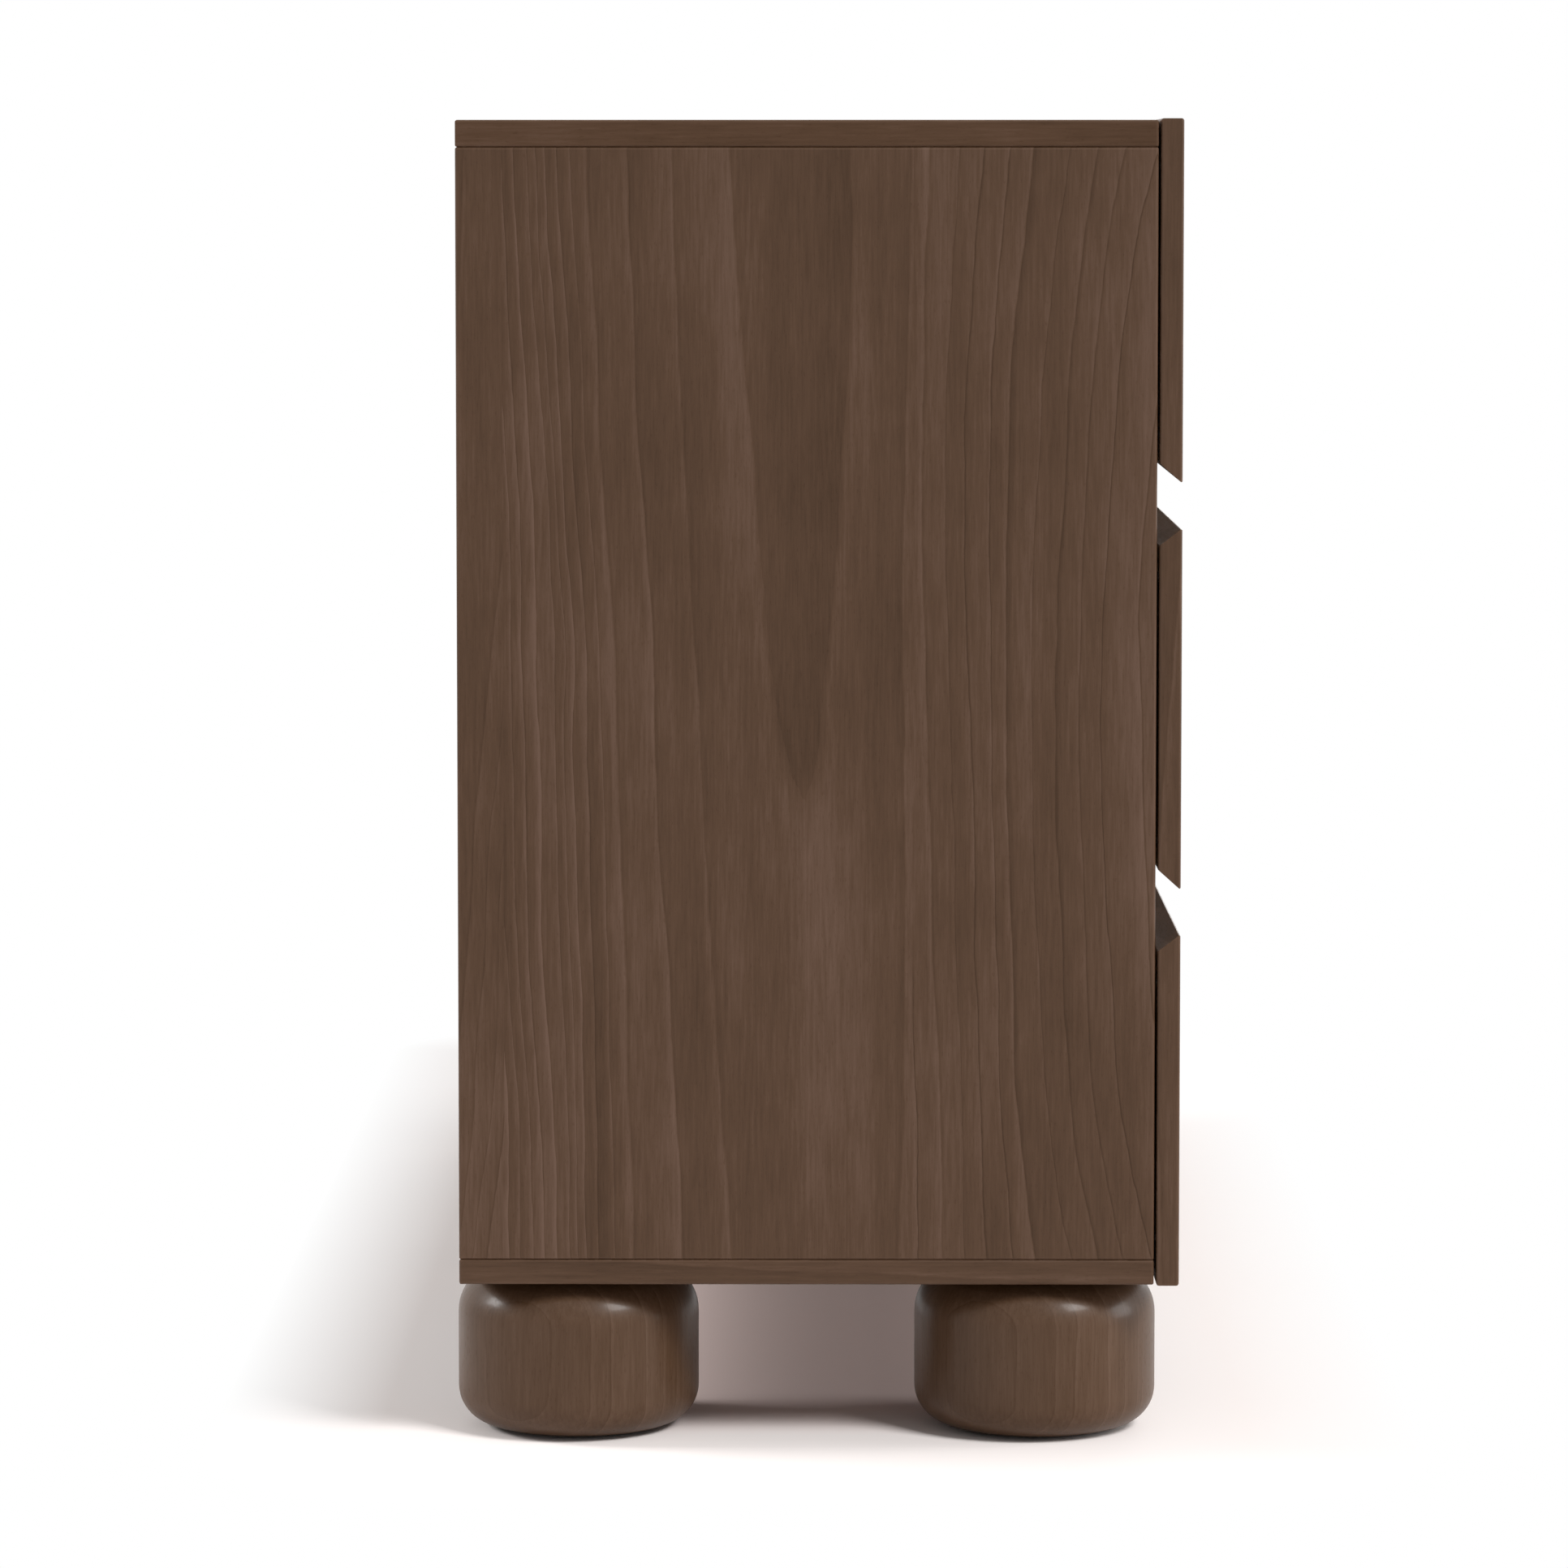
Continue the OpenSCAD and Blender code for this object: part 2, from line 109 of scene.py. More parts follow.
class Graph:
    """Writes the nodes of one material, world or node group."""

    def __init__(self, tree: bpy.types.NodeTree) -> None:
        """Starts on a tree."""
        self.tree = tree

    def feed(self, socket: Socket, value: Any) -> None:
        """Links a socket to another one, or sets its value.

        Args:
            socket: The input to feed.
            value: The output to link, or the value to set.
        """
        if isinstance(value, Socket):
            self.tree.links.new(value, socket)
        else:
            socket.default_value = value

    def node(self, kind: str, *values: Any, **settings: Any) -> bpy.types.Node:
        """Adds a node.

        Args:
            kind: The node's type, without its ShaderNode prefix, or a group's end in full.
            values: Values or links for its first inputs, with None for one to leave out.
            settings: Properties to set on it.

        Returns:
            The new node.
        """
        made = self.tree.nodes.new(kind if kind.startswith("NodeGroup") else "ShaderNode" + kind)
        for name, value in settings.items():
            setattr(made, name, value)
        for socket, value in zip(made.inputs, values):
            if value is not None:
                self.feed(socket, value)
        return made

    def join(self, node: bpy.types.Node, **values: Any) -> Outputs:
        """Links or sets inputs of a node by their names.

        Args:
            node: The node.
            values: Values or links for its inputs, with _ for each space of a name.

        Returns:
            The node's outputs.
        """
        for label, value in values.items():
            self.feed(node.inputs[label.replace("_", " ")], value)
        return node.outputs

    def math(self, operation: str, *values: Value, clamp: bool = False) -> Socket:
        """Adds a Math node and returns its output."""
        return self.node("Math", *values, operation=operation, use_clamp=clamp).outputs[0]

    def add(self, *values: Value) -> Socket:
        """Adds up two or more numbers."""
        return reduce(lambda a, b: self.math("ADD", a, b), values)

    def times(self, *values: Value) -> Socket:
        """Multiplies two or more numbers."""
        return reduce(lambda a, b: self.math("MULTIPLY", a, b), values)

    def less(self, a: Value, b: Value) -> Socket:
        """Takes one number from another."""
        return self.math("SUBTRACT", a, b)

    def scaled(self, value: Value, by: Value, plus: Value) -> Socket:
        """Multiplies a number by a second one and adds a third one."""
        return self.math("MULTIPLY_ADD", value, by, plus)

    def positive(self, value: Value) -> Socket:
        """Returns a number, or 0 where it is less."""
        return self.math("MAXIMUM", value, 0.0)

    def vector(self, x: Value, y: Value, z: Value) -> Socket:
        """Joins three numbers to a vector."""
        return self.node("CombineXYZ", x, y, z).outputs[0]

    def split(self, vector: Socket) -> tuple[Socket, ...]:
        """Splits a vector into its three numbers."""
        return tuple(self.node("SeparateXYZ", vector).outputs)

    def stretched(self, vector: Socket, scale: Triple) -> Socket:
        """Multiplies a vector by a scale for each axis."""
        return self.node("VectorMath", vector, scale, operation="MULTIPLY").outputs[0]

    def noise(
        self, vector: Socket, scale: Value = 1.0, detail: float = 2.0, rough: float = 0.5
    ) -> Socket:
        """Adds a noise texture and returns its grey output, which is GREY on average."""
        made = self.node("TexNoise")
        return self.join(made, Vector=vector, Scale=scale, Detail=detail, Roughness=rough)["Fac"]

    def dice(self, number: Socket) -> tuple[Socket, ...]:
        """Turns a whole number into three random numbers from 0 to 1."""
        made = self.node("TexWhiteNoise", noise_dimensions="1D")
        return self.split(self.join(made, W=number)["Color"])

    def remap(
        self, value: Socket, lo: float, hi: float, to_lo: Value = 0.0, to_hi: Value = 1.0
    ) -> Socket:
        """Maps a range of a value to another range, and clamps it there."""
        return self.node("MapRange", value, lo, hi, to_lo, to_hi).outputs[0]

    def mix(self, factor: Value, a: Any, b: Any, what: Mixed = Mixed.NUMBER) -> Socket:
        """Mixes two values, with a at a factor of 0 and b at 1."""
        kind, between, out = what.value
        return self.node("Mix", factor, *[None] * between, a, b, data_type=kind).outputs[out]

    def ramp(self, value: Socket, stops: Sequence[tuple[float, Colour]]) -> Socket:
        """Turns a number into a colour by a row of stops.

        Args:
            value: The number.
            stops: The place and the colour of each stop.

        Returns:
            The colour.
        """
        made = self.node("ValToRGB", value)
        elements = made.color_ramp.elements
        while len(elements) < len(stops):
            elements.new(0.5)
        for element, (place, colour) in zip(elements, stops):
            element.position, element.color = place, linear(colour)
        return made.outputs[0]

    def bump(self, height: Socket, distance: float, strength: float) -> Socket:
        """Turns a height of 0 to 1 into a normal, with its depth in metres."""
        made = self.node("Bump")
        return self.join(made, Height=height, Distance=distance, Strength=strength)[0]


class Effect:
    """A shader node group with named inputs and outputs, built once and placed in many materials.

    An input is given by its usual value, or by None where it is a vector that is always linked.
    Each noise is given by its scale for each axis, its detail and its roughness.
    """

    NAME = ""
    INPUTS: dict[str, float | None] = {}
    OUTPUTS: tuple[str, ...] = ()
    NOISES: tuple[tuple[Triple, float, float], ...] = ()

    def __init__(self) -> None:
        """Makes the group's sockets and fills it."""
        self.tree = bpy.data.node_groups.new(self.NAME, "ShaderNodeTree")
        new_socket = self.tree.interface.new_socket
        for label, usual in self.INPUTS.items():
            kind = "NodeSocketVector" if usual is None else "NodeSocketFloat"
            socket = new_socket(label, in_out="INPUT", socket_type=kind)
            if usual is not None:
                socket.default_value = usual
        for label in self.OUTPUTS:
            new_socket(label, in_out="OUTPUT", socket_type="NodeSocketFloat")
        self.g = Graph(self.tree)
        self.source = self.g.node("NodeGroupInput").outputs
        self.g.node("NodeGroupOutput", *self.fill())

    def fill(self) -> Sequence[Socket]:
        """Writes the group's nodes and returns one value for each output, in their order."""
        raise NotImplementedError

    def greys(self, vector: Socket) -> list[Socket]:
        """Adds the effect's noises, each stretched in its own way."""
        g = self.g
        return [g.noise(g.stretched(vector, scale), 1.0, *rest) for scale, *rest in self.NOISES]

    @classmethod
    def place(cls, g: Graph, **values: Any) -> Outputs:
        """Places the group, with _ for each space of an input's name. The first call builds it."""
        tree = bpy.data.node_groups.get(cls.NAME) or cls().tree
        return g.join(g.node("Group", node_tree=tree), **values)


class SawnWood(Effect):
    """The figure of a board sawn from a log, or of veneer laid in strips.

    The board's X is across the grain, its Y is its depth, and its Z runs along the grain. The
    strip in the middle shows the arches of the yearly rings, and its neighbours come from nearer
    the rim.
    """

    NAME = "sawn_wood"
    INPUTS = {
        "Board": None,
        "Ring Width": 0.0186,
        "Outer Ring Width": 0.0064,
        "Wide Rings To": 0.158,
        "Pith Depth": 0.1,
        "Tilt": 0.021,
        "Lean": 0.0,
        "Spread": 1.5,
        "Wander": 0.010,
        "Strip Width": 0.2586,
        "Seam": -0.0692,
    }
    OUTPUTS = ("Rings", "Ring Tone", "Streaks", "Clouds", "Fibres", "Pores")
    NOISES = (
        ((11.0, 11.0, 3.2), 2.0, 0.5),
        ((75.0, 75.0, 22.0), 3.0, 0.6),
        ((34.0, 34.0, 1.1), 5.0, 0.64),
        ((18.0, 18.0, 8.0), 6.0, 0.66),
        ((480.0, 480.0, 26.0), 3.0, 0.68),
        ((950.0, 950.0, 200.0), 1.0, 0.5),
    )

    # A strip's heart lies aside of the last one's, and its pith deeper and more tilted, by chance.
    ASIDE, ASIDE_MORE, DEEPER, LEANS = -0.26, -0.08, 0.05, 0.08
    BENDS, JAGS, JAGS_MORE = 2.2, 0.1, 0.8
    POINT_H, POINT_FALL = -0.0005, -125.0  # the fine point of each arch
    WIDER = 0.8  # how much wider the outer rings are on one side
    UNEVEN, UNEVEN_SCALE, UNEVEN_OVER = 1.7, 60.0, (0.004, 0.05)
    # A light line, steep at first and then soft, and the dark line before the next one.
    LIGHT_OVER, SHARP, SHARP_SHARE, SOFT, SOFT_SHARE = (0.0, 0.04), 7.0, 0.62, 1.3, 0.38
    DARK_OVER = (0.90, 0.985)
    # Each of these for the middle strip and for its neighbours.
    PALER, DARKER, STRONG, START = (1.0, 0.6), (-0.35, -0.8), (1.0, 0.7), (-0.06, 0.16)
    CRISP = (0.0, 0.02, 0.9, 1.7)  # from the wide rings to the close ones
    VIGOUR, VIGOUR_MORE = 0.55, 0.9
    CLOUDS_SLOW, PORES_RING, PORES_OVER = 0.55, 0.03, (0.63, 0.72)

    def find_radius(self, slow: Socket, fine: Socket) -> Socket:
        """Finds how far from the pith of its log each point of a strip was.

        Args:
            slow: The noise that bends the rings.
            fine: The noise that breaks them.

        Returns:
            The distance, in metres.
        """
        g, source = self.g, self.source
        x, y, z = g.split(source["Board"])
        chance_aside, chance_deep, chance_lean = g.dice(g.add(self.strip, 7.0))
        aside = g.times(self.strip, g.scaled(chance_aside, self.ASIDE_MORE, self.ASIDE))
        leaning = g.less(g.times(self.other, chance_lean, self.LEANS), source["Lean"])
        before = g.math("MINIMUM", self.from_seam, 0.0)
        beyond = g.add(before, g.positive(g.less(self.from_seam, source["Strip Width"])))
        fanned = g.times(beyond, g.times(z, z), source["Spread"])
        bend = g.times(g.less(slow, GREY), source["Wander"], self.BENDS)
        across = g.add(x, aside, bend, g.times(leaning, z), g.times(fanned, -1.0))
        rougher = g.scaled(g.math("ABSOLUTE", across), self.JAGS_MORE, self.JAGS)
        jag = g.times(g.less(fine, GREY), source["Wander"], rougher)
        pith = g.add(source["Pith Depth"], g.times(self.other, chance_deep, self.DEEPER))
        deep = g.add(g.less(pith, g.times(source["Tilt"], z)), y)
        fall = g.math("EXPONENT", g.times(g.math("ABSOLUTE", across), self.POINT_FALL))
        square = g.add(g.times(across, across), g.times(deep, deep))
        return g.add(g.math("SQRT", square), jag, g.times(fall, self.POINT_H))

    def count_rings(self, radius: Socket) -> Socket:
        """Counts the rings up to a distance from the pith, wide ones first and close ones after.

        Args:
            radius: The distance from the pith.

        Returns:
            The number of rings, with fractions.
        """
        g, source = self.g, self.source
        wider = g.scaled(g.math("LESS_THAN", self.strip, -0.5), self.WIDER, 1.0)
        inner = g.less(g.math("MINIMUM", radius, source["Wide Rings To"]), source["Pith Depth"])
        outer = g.positive(g.less(radius, source["Wide Rings To"]))
        close = g.math("DIVIDE", outer, g.times(source["Outer Ring Width"], wider))
        count = g.add(g.math("DIVIDE", inner, source["Ring Width"]), close)
        from_pith = g.math("ABSOLUTE", g.less(radius, source["Pith Depth"]))
        far = g.remap(from_pith, *self.UNEVEN_OVER)
        uneven = g.noise(g.vector(g.times(radius, self.UNEVEN_SCALE), self.strip, 0.0), detail=1.0)
        return g.add(count, g.times(g.less(uneven, GREY), far, self.UNEVEN))

    def draw_rings(self, radius: Socket) -> tuple[Socket, Socket, Socket]:
        """Draws the light and the dark line of each ring.

        Args:
            radius: The distance from the pith.

        Returns:
            The rings, a random tone for each of them, and the light lines alone.
        """
        g = self.g
        count = self.count_rings(radius)
        since = g.math("FRACT", count)
        tone, vigour, _ = g.dice(g.scaled(self.strip, 31.0, g.math("FLOOR", count)))
        left = g.less(1.0, since)
        sharp = g.times(g.math("POWER", left, self.SHARP), self.SHARP_SHARE)
        soft = g.times(g.math("POWER", left, self.SOFT), self.SOFT_SHARE)
        light = g.times(g.add(sharp, soft), g.remap(since, *self.LIGHT_OVER))
        dark = g.remap(since, *self.DARK_OVER)
        pairs = (self.PALER, self.DARKER, self.STRONG, self.START)
        paler, darker, strong, start = (g.mix(self.other, *pair) for pair in pairs)
        crisp = g.remap(g.less(radius, self.source["Wide Rings To"]), *self.CRISP)
        lines = g.add(g.times(light, paler), g.times(dark, darker))
        vigour = g.scaled(vigour, self.VIGOUR_MORE, self.VIGOUR)
        return g.add(g.times(lines, vigour, crisp, strong), start), tone, light

    def fill(self) -> Sequence[Socket]:
        """Finds the strip, then draws its rings, clouds, fibres and pores.

        Returns:
            The rings, tone, streaks, clouds, fibres and pores.
        """
        g, source = self.g, self.source
        self.from_seam = g.less(g.split(source["Board"])[0], source["Seam"])
        self.strip = g.math("FLOOR", g.math("DIVIDE", self.from_seam, source["Strip Width"]))
        self.other = g.math("MINIMUM", g.math("ABSOLUTE", self.strip), 1.0)
        slow, fine, streaks, clouds, fibres, dots = self.greys(source["Board"])
        rings, tone, light = self.draw_rings(self.find_radius(slow, fine))
        clouds = g.scaled(g.less(slow, GREY), self.CLOUDS_SLOW, clouds)
        pores = g.remap(g.scaled(light, self.PORES_RING, dots), *self.PORES_OVER)
        return rings, tone, streaks, clouds, fibres, pores


class RubbedEdges(Effect):
    """A mask of the long edges of a board, where hands and cloths have rubbed the finish."""

    NAME = "rubbed_edges"
    INPUTS = {"Point": None, "Low": None, "High": None, "Width": 0.0022}
    OUTPUTS = ("Edge",)

    def fill(self) -> Sequence[Socket]:
        """Finds where two faces of the board's box are near at once, and breaks the line up.

        Returns:
            How far the edge is rubbed.
        """
        g, source = self.g, self.source
        near = []
        for here, lo, hi in zip(*(g.split(source[label]) for label in ("Point", "Low", "High"))):
            gap = g.positive(g.math("MINIMUM", g.less(here, lo), g.less(hi, here)))
            near.append(g.positive(g.less(1.0, g.math("DIVIDE", gap, source["Width"]))))
        x, y, z = near
        pairs = g.add(g.times(x, y), g.times(y, z), g.times(x, z))
        patches = g.noise(source["Point"], scale=38.0, detail=3.0, rough=0.65)
        return (g.math("MULTIPLY", pairs, g.remap(patches, 0.35, 0.62, 0.25, 1.0), clamp=True),)


class RolledSheet(Effect):
    """The surface of rolled and zinc-plated steel: lines along Y, cloudy bloom and scratches."""

    NAME = "rolled_sheet"
    INPUTS = {"Point": None}
    OUTPUTS = ("Lines", "Bloom", "Scratches")
    NOISES = (
        ((1600.0, 9.0, 1600.0), 2.0, 0.7),
        ((90.0, 60.0, 90.0), 4.0, 0.6),
        ((420.0, 3.0, 420.0), 1.0, 0.5),
    )

    def fill(self) -> Sequence[Socket]:
        """Writes the rolling lines, the bloom of the plating and the scratches."""
        lines, bloom, marks = self.greys(self.source["Point"])
        return lines, bloom, self.g.remap(marks, 0.66, 0.7)


class FineGrit(Effect):
    """The matt skin of moulded plastic, rubber or felt."""

    NAME = "fine_grit"
    INPUTS = {"Point": None, "Size": 0.0006}
    OUTPUTS = ("Grit", "Patches")

    def fill(self) -> Sequence[Socket]:
        """Writes a fine grain of the given size and slow patches.

        Returns:
            The grain and the patches.
        """
        g, point = self.g, self.source["Point"]
        grit = g.noise(point, g.math("DIVIDE", 1.0, self.source["Size"]), detail=2.0, rough=0.6)
        return grit, g.noise(point, scale=70.0, detail=3.0)


@dataclass(frozen=True)
class Board:
    """How a board lies in its log.

    Attributes:
        along: The direction of the grain.
        across: The direction across the board's face.
        middle: Where the heart of the figure lies, in metres, as across, thickness and along.
        flip: Whether the figure opens the other way along the grain.
    """

    along: Axis
    across: Axis
    middle: Triple
    flip: bool = False

    def place(self, g: Graph, parts: Sequence[Socket]) -> Socket:
        """Turns object coordinates into the board's own.

        Args:
            g: The graph to write in.
            parts: The three object coordinates.

        Returns:
            The board's coordinates: across, thickness and along.
        """
        thick = ({0, 1, 2} - {self.along.value, self.across.value}).pop()
        order = (self.across.value, thick, self.along.value)
        across, depth, along = (g.less(parts[i], at) for i, at in zip(order, self.middle))
        return g.vector(across, depth, g.times(along, -1.0) if self.flip else along)


def start_material(name: str) -> tuple[Material, Graph, bpy.types.Node, Outputs]:
    """Starts a material.

    Args:
        name: Its name.

    Returns:
        The material, its graph, its shader and the outputs of a Texture Coordinate node.
    """
    made = bpy.data.materials.new(name)
    made.use_nodes = True
    g = Graph(made.node_tree)
    return made, g, g.tree.nodes["Principled BSDF"], g.node("TexCoord").outputs


@dataclass(frozen=True)
class WoodFinish:
    """A wood with its colours, figure and sheen, or plywood of it that lies level."""

    kind: str = "stained"  # what the names of its materials begin with
    light: Colour = (96, 73, 59)
    middle: Colour = (76, 53, 35)
    dark: Colour = (57, 35, 13)
    rubbed: Colour = (112, 86, 68)  # the colour that shows along worn edges
    wear: float = 0.2  # how much of it shows
    # How strong the rings, ring tones, streaks, clouds, fibres and pores are.
    shares: tuple[float, ...] = (0.38, 0.12, 0.89, 0.81, 0.84, -0.12)
    rough: float = 0.46
    gloss: float = 0.28
    end_dark: float = 0.09  # how much darker the end grain is
    coat: float = 0.06
    coat_rough: float = 0.33
    ply: float = 0.0  # the thickness of one ply, or 0 for solid wood
    glue: Colour = (150, 112, 74)  # the colour of the dark plies
    glue_share: float = 0.7
    figure: dict[str, float] = field(default_factory=dict)  # for the wood group's inputs

    RESTS = (0.22, 0.5, 0.5, 0.5, 0.5, 0.08)  # what the wood group's outputs are on average
    END_FACING = 0.75
    FIBRE_SHEEN, WORN_SHEEN, PORE_SHEEN = 0.22, -0.06, 0.12
    PORE_DEPTH, RELIEF, RELIEF_SHARE = -0.6, 0.08 * MM, 0.35

    def material(
        self, node: str, face: Board, end: Board | None = None, **figure: float
    ) -> Material:
        """Builds the material of one board.

        Args:
            node: The board's node.
            face: How the board's faces lie in the log.
            end: How the strip over its ends lies, where the grain turns.
            figure: Values of the wood group's inputs, over those of the finish.

        Returns:
            The material.
        """
        made, g, shader, where = start_material(f"{self.kind}_{node}")
        low, high = (tuple(corner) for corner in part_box(node))
        parts, facing = g.split(where["Object"]), g.split(where["Normal"])
        facing_end = g.math("ABSOLUTE", facing[face.along.value])
        at_end = g.math("GREATER_THAN", facing_end, self.END_FACING)
        place = face.place(g, parts)
        if end is not None:
            place = g.mix(at_end, place, end.place(g, parts), Mixed.VECTOR)
        wood = SawnWood.place(g, Board=place, **{**self.figure, **figure})
        worn = RubbedEdges.place(g, Point=where["Object"], Low=low, High=high)["Edge"]
        tone: Value = 0.5
        for label, share, rest in zip(SawnWood.OUTPUTS, self.shares, self.RESTS):
            tone = g.scaled(g.less(wood[label], rest), share, tone)
        tone = g.scaled(at_end, -self.end_dark, tone)
        colour = g.ramp(tone, ((0.0, self.dark), (0.5, self.middle), (1.0, self.light)))
        colour = g.mix(g.times(worn, self.wear), colour, linear(self.rubbed), Mixed.COLOUR)
        if self.ply:
            layer = g.math("DIVIDE", g.less(parts[2], low[2]), self.ply)
            second = g.math("GREATER_THAN", g.math("MODULO", layer, 2.0), 1.0)
            edge = g.math("LESS_THAN", g.math("ABSOLUTE", facing[2]), 0.5)
            dark = g.times(second, edge, self.glue_share)
            colour = g.mix(dark, colour, linear(self.glue), Mixed.COLOUR)
        sheen = g.scaled(g.less(wood["Fibres"], GREY), self.FIBRE_SHEEN, self.rough)
        sheen = g.scaled(worn, self.WORN_SHEEN, sheen)
        height = g.scaled(wood["Pores"], self.PORE_DEPTH, wood["Fibres"])
        g.join(
            shader,
            Base_Color=colour,
            Roughness=g.scaled(wood["Pores"], self.PORE_SHEEN, sheen),
            Normal=g.bump(height, self.RELIEF, self.RELIEF_SHARE),
            Specular_IOR_Level=self.gloss,
            Coat_Weight=self.coat,
            Coat_Roughness=self.coat_rough,
        )
        return made


@dataclass(frozen=True)
class SteelFinish:
    """Plated steel."""

    light: Colour = (214, 216, 219)
    dull: Colour = (193, 195, 196)  # the colour where it has bloomed
    rough: float = 0.34

    BLOOM_SHEEN, SCRATCH_SHEEN, LINE_SHEEN = 0.09, -0.10, 0.2
    SCRATCH_DEPTH, RELIEF, RELIEF_SHARE = -0.5, 0.03 * MM, 0.3

    def material(self, name: str) -> Material:
        """Builds the material.

        Args:
            name: What its name ends with.

        Returns:
            The material.
        """
        made, g, shader, where = start_material("zinc_" + name)
        lines, bloom, scratches = RolledSheet.place(g, Point=where["Object"])
        bloom = g.remap(bloom, 0.35, 0.65)
        rough = g.scaled(bloom, self.BLOOM_SHEEN, self.rough)
        rough = g.add(rough, g.times(scratches, self.SCRATCH_SHEEN))
        height = g.scaled(scratches, self.SCRATCH_DEPTH, lines)
        g.join(
            shader,
            Base_Color=g.mix(bloom, linear(self.light), linear(self.dull), Mixed.COLOUR),
            Roughness=g.scaled(g.less(lines, GREY), self.LINE_SHEEN, rough),
            Normal=g.bump(height, self.RELIEF, self.RELIEF_SHARE),
            Metallic=1.0,
        )
        return made


@dataclass(frozen=True)
class MattFinish:
    """Moulded plastic, rubber or felt."""

    colour: Colour
    pale: Colour  # the colour of its dustier patches
    rough: float
    gloss: float
    grit: float = 0.5 * MM  # the size of its grain
    depth: float = 0.06 * MM

    GRIT_SHEEN, RELIEF_SHARE = 0.25, 0.5

    def material(self, name: str) -> Material:
        """Builds the material.

        Args:
            name: Its name.

        Returns:
            The material.
        """
        made, g, shader, where = start_material(name)
        grit, patches = FineGrit.place(g, Point=where["Object"], Size=self.grit)
        patch = g.remap(patches, 0.4, 0.7)
        g.join(
            shader,
            Base_Color=g.mix(patch, linear(self.colour), linear(self.pale), Mixed.COLOUR),
            Roughness=g.scaled(g.less(grit, GREY), self.GRIT_SHEEN, self.rough),
            Normal=g.bump(grit, self.depth, self.RELIEF_SHARE),
            Specular_IOR_Level=self.gloss,
        )
        return made


STAINED = WoodFinish()
TABLE_TOP = replace(STAINED, rough=0.56, gloss=0.24, coat=0.0)
TURNED = replace(
    STAINED,
    kind="turned",
    light=(99, 78, 64),
    middle=(80, 59, 43),
    shares=(0.14, 0.08, 0.60, 0.45, 0.60, -0.10),
    wear=0.0,
    rough=0.42,
    gloss=0.16,
    coat=0.12,
    coat_rough=0.18,
    figure={"Outer_Ring_Width": 0.012, "Strip_Width": 2.0, "Seam": -1.0},
)
BIRCH = WoodFinish(
    kind="birch",
    light=(226, 200, 160),
    middle=(209, 178, 136),
    dark=(182, 147, 104),
    rubbed=(222, 198, 160),
    shares=(0.13, 0.10, 0.45, 0.34, 0.40, -0.10),
    rough=0.42,
    gloss=0.40,
    end_dark=0.32,
    figure={"Wander": 0.007, "Strip_Width": 0.5},
)
PLYWOOD = WoodFinish(
    kind="plywood",
    light=(228, 204, 165),
    middle=(213, 185, 145),
    dark=(188, 156, 115),
    rubbed=(222, 200, 164),
    shares=(0.30, 0.10, 0.35, 0.30, 0.30, -0.10),
    rough=0.55,
    ply=1.0 * MM,
    figure={"Pith_Depth": 0.3, "Tilt": 0.004},
)
ZINC = SteelFinish()
BOLT_ZINC = SteelFinish(light=(200, 201, 203), dull=(160, 160, 158), rough=0.42)
GLIDE = MattFinish((38, 35, 33), (58, 54, 51), rough=0.8, gloss=0.2)
RUBBER = MattFinish((30, 25, 22), (46, 40, 36), 0.45, 0.4, grit=0.3 * MM, depth=0.02 * MM)


def to_mesh(shape: Shape, name: str) -> bpy.types.Mesh:
    """Turns a shape into a mesh, and frees the shape.

    Args:
        shape: The shape.
        name: The mesh's name.

    Returns:
        The mesh.
    """
    mesh = bpy.data.meshes.new(name)
    shape.to_mesh(mesh)
    shape.free()
    return mesh


def to_scene(name: str, data: Any) -> Thing:
    """Puts a mesh, a lamp or a camera into the scene as an object.

    Args:
        name: The object's name.
        data: The mesh, lamp or camera.

    Returns:
        The object.
    """
    made = bpy.data.objects.new(name, data)
    bpy.context.scene.collection.objects.link(made)
    return made


def settle(shape: Shape) -> None:
    """Puts the edges and faces in the order of their corners, as Blender's own order varies.

    Args:
        shape: The shape.
    """
    shape.verts.index_update()
    for parts in (shape.edges, shape.faces):
        ordered = sorted(parts, key=lambda part: sorted(vert.index for vert in part.verts))
        for number, part in enumerate(ordered):
            part.index = number
        parts.sort()


def add_piece(shape: Shape, name: str, body: str, material: Material) -> Thing:
    """Turns a shape into a finished piece that rides on a body.

    Args:
        shape: The shape, which is freed.
        name: The piece's name.
        body: The body that it moves with.
        material: The piece's material.

    Returns:
        The piece.
    """
    bmesh.ops.remove_doubles(shape, verts=shape.verts, dist=0.001 * MM)
    bmesh.ops.recalc_face_normals(shape, faces=shape.faces)
    settle(shape)
    for face in shape.faces:
        face.smooth = True
    for edge in shape.edges:
        edge.smooth = edge.calc_face_angle(0.0) < math.radians(35)
    mesh = to_mesh(shape, name)
    mesh.materials.append(material)
    made = to_scene(name, mesh)
    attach(made, body)
    LOG.info("built %s: %d faces on %s", name, len(mesh.polygons), body)
    return made


def lift(verts: Iterable[bmesh.types.BMVert], height: float) -> None:
    """Moves corners to a height."""
    for vert in verts:
        vert.co.z = height


def draw_out(shape: Shape, edges: Iterable[Any], grow: float, height: float) -> list[Any]:
    """Draws a ring of edges out to a new ring around the Z axis.

    Args:
        shape: The shape.
        edges: The ring's edges.
        grow: How many times wider the new ring is.
        height: The new ring's height.

    Returns:
        The edges of the new ring.
    """
    made = bmesh.ops.extrude_edge_only(shape, edges=list(edges))["geom"]
    verts = [v for v in made if isinstance(v, bmesh.types.BMVert)]
    bmesh.ops.scale(shape, vec=(grow, grow, 1.0), verts=verts)
    lift(verts, height)
    edges = [e for e in made if isinstance(e, bmesh.types.BMEdge)]
    return [e for e in edges if all(v in verts for v in e.verts)]


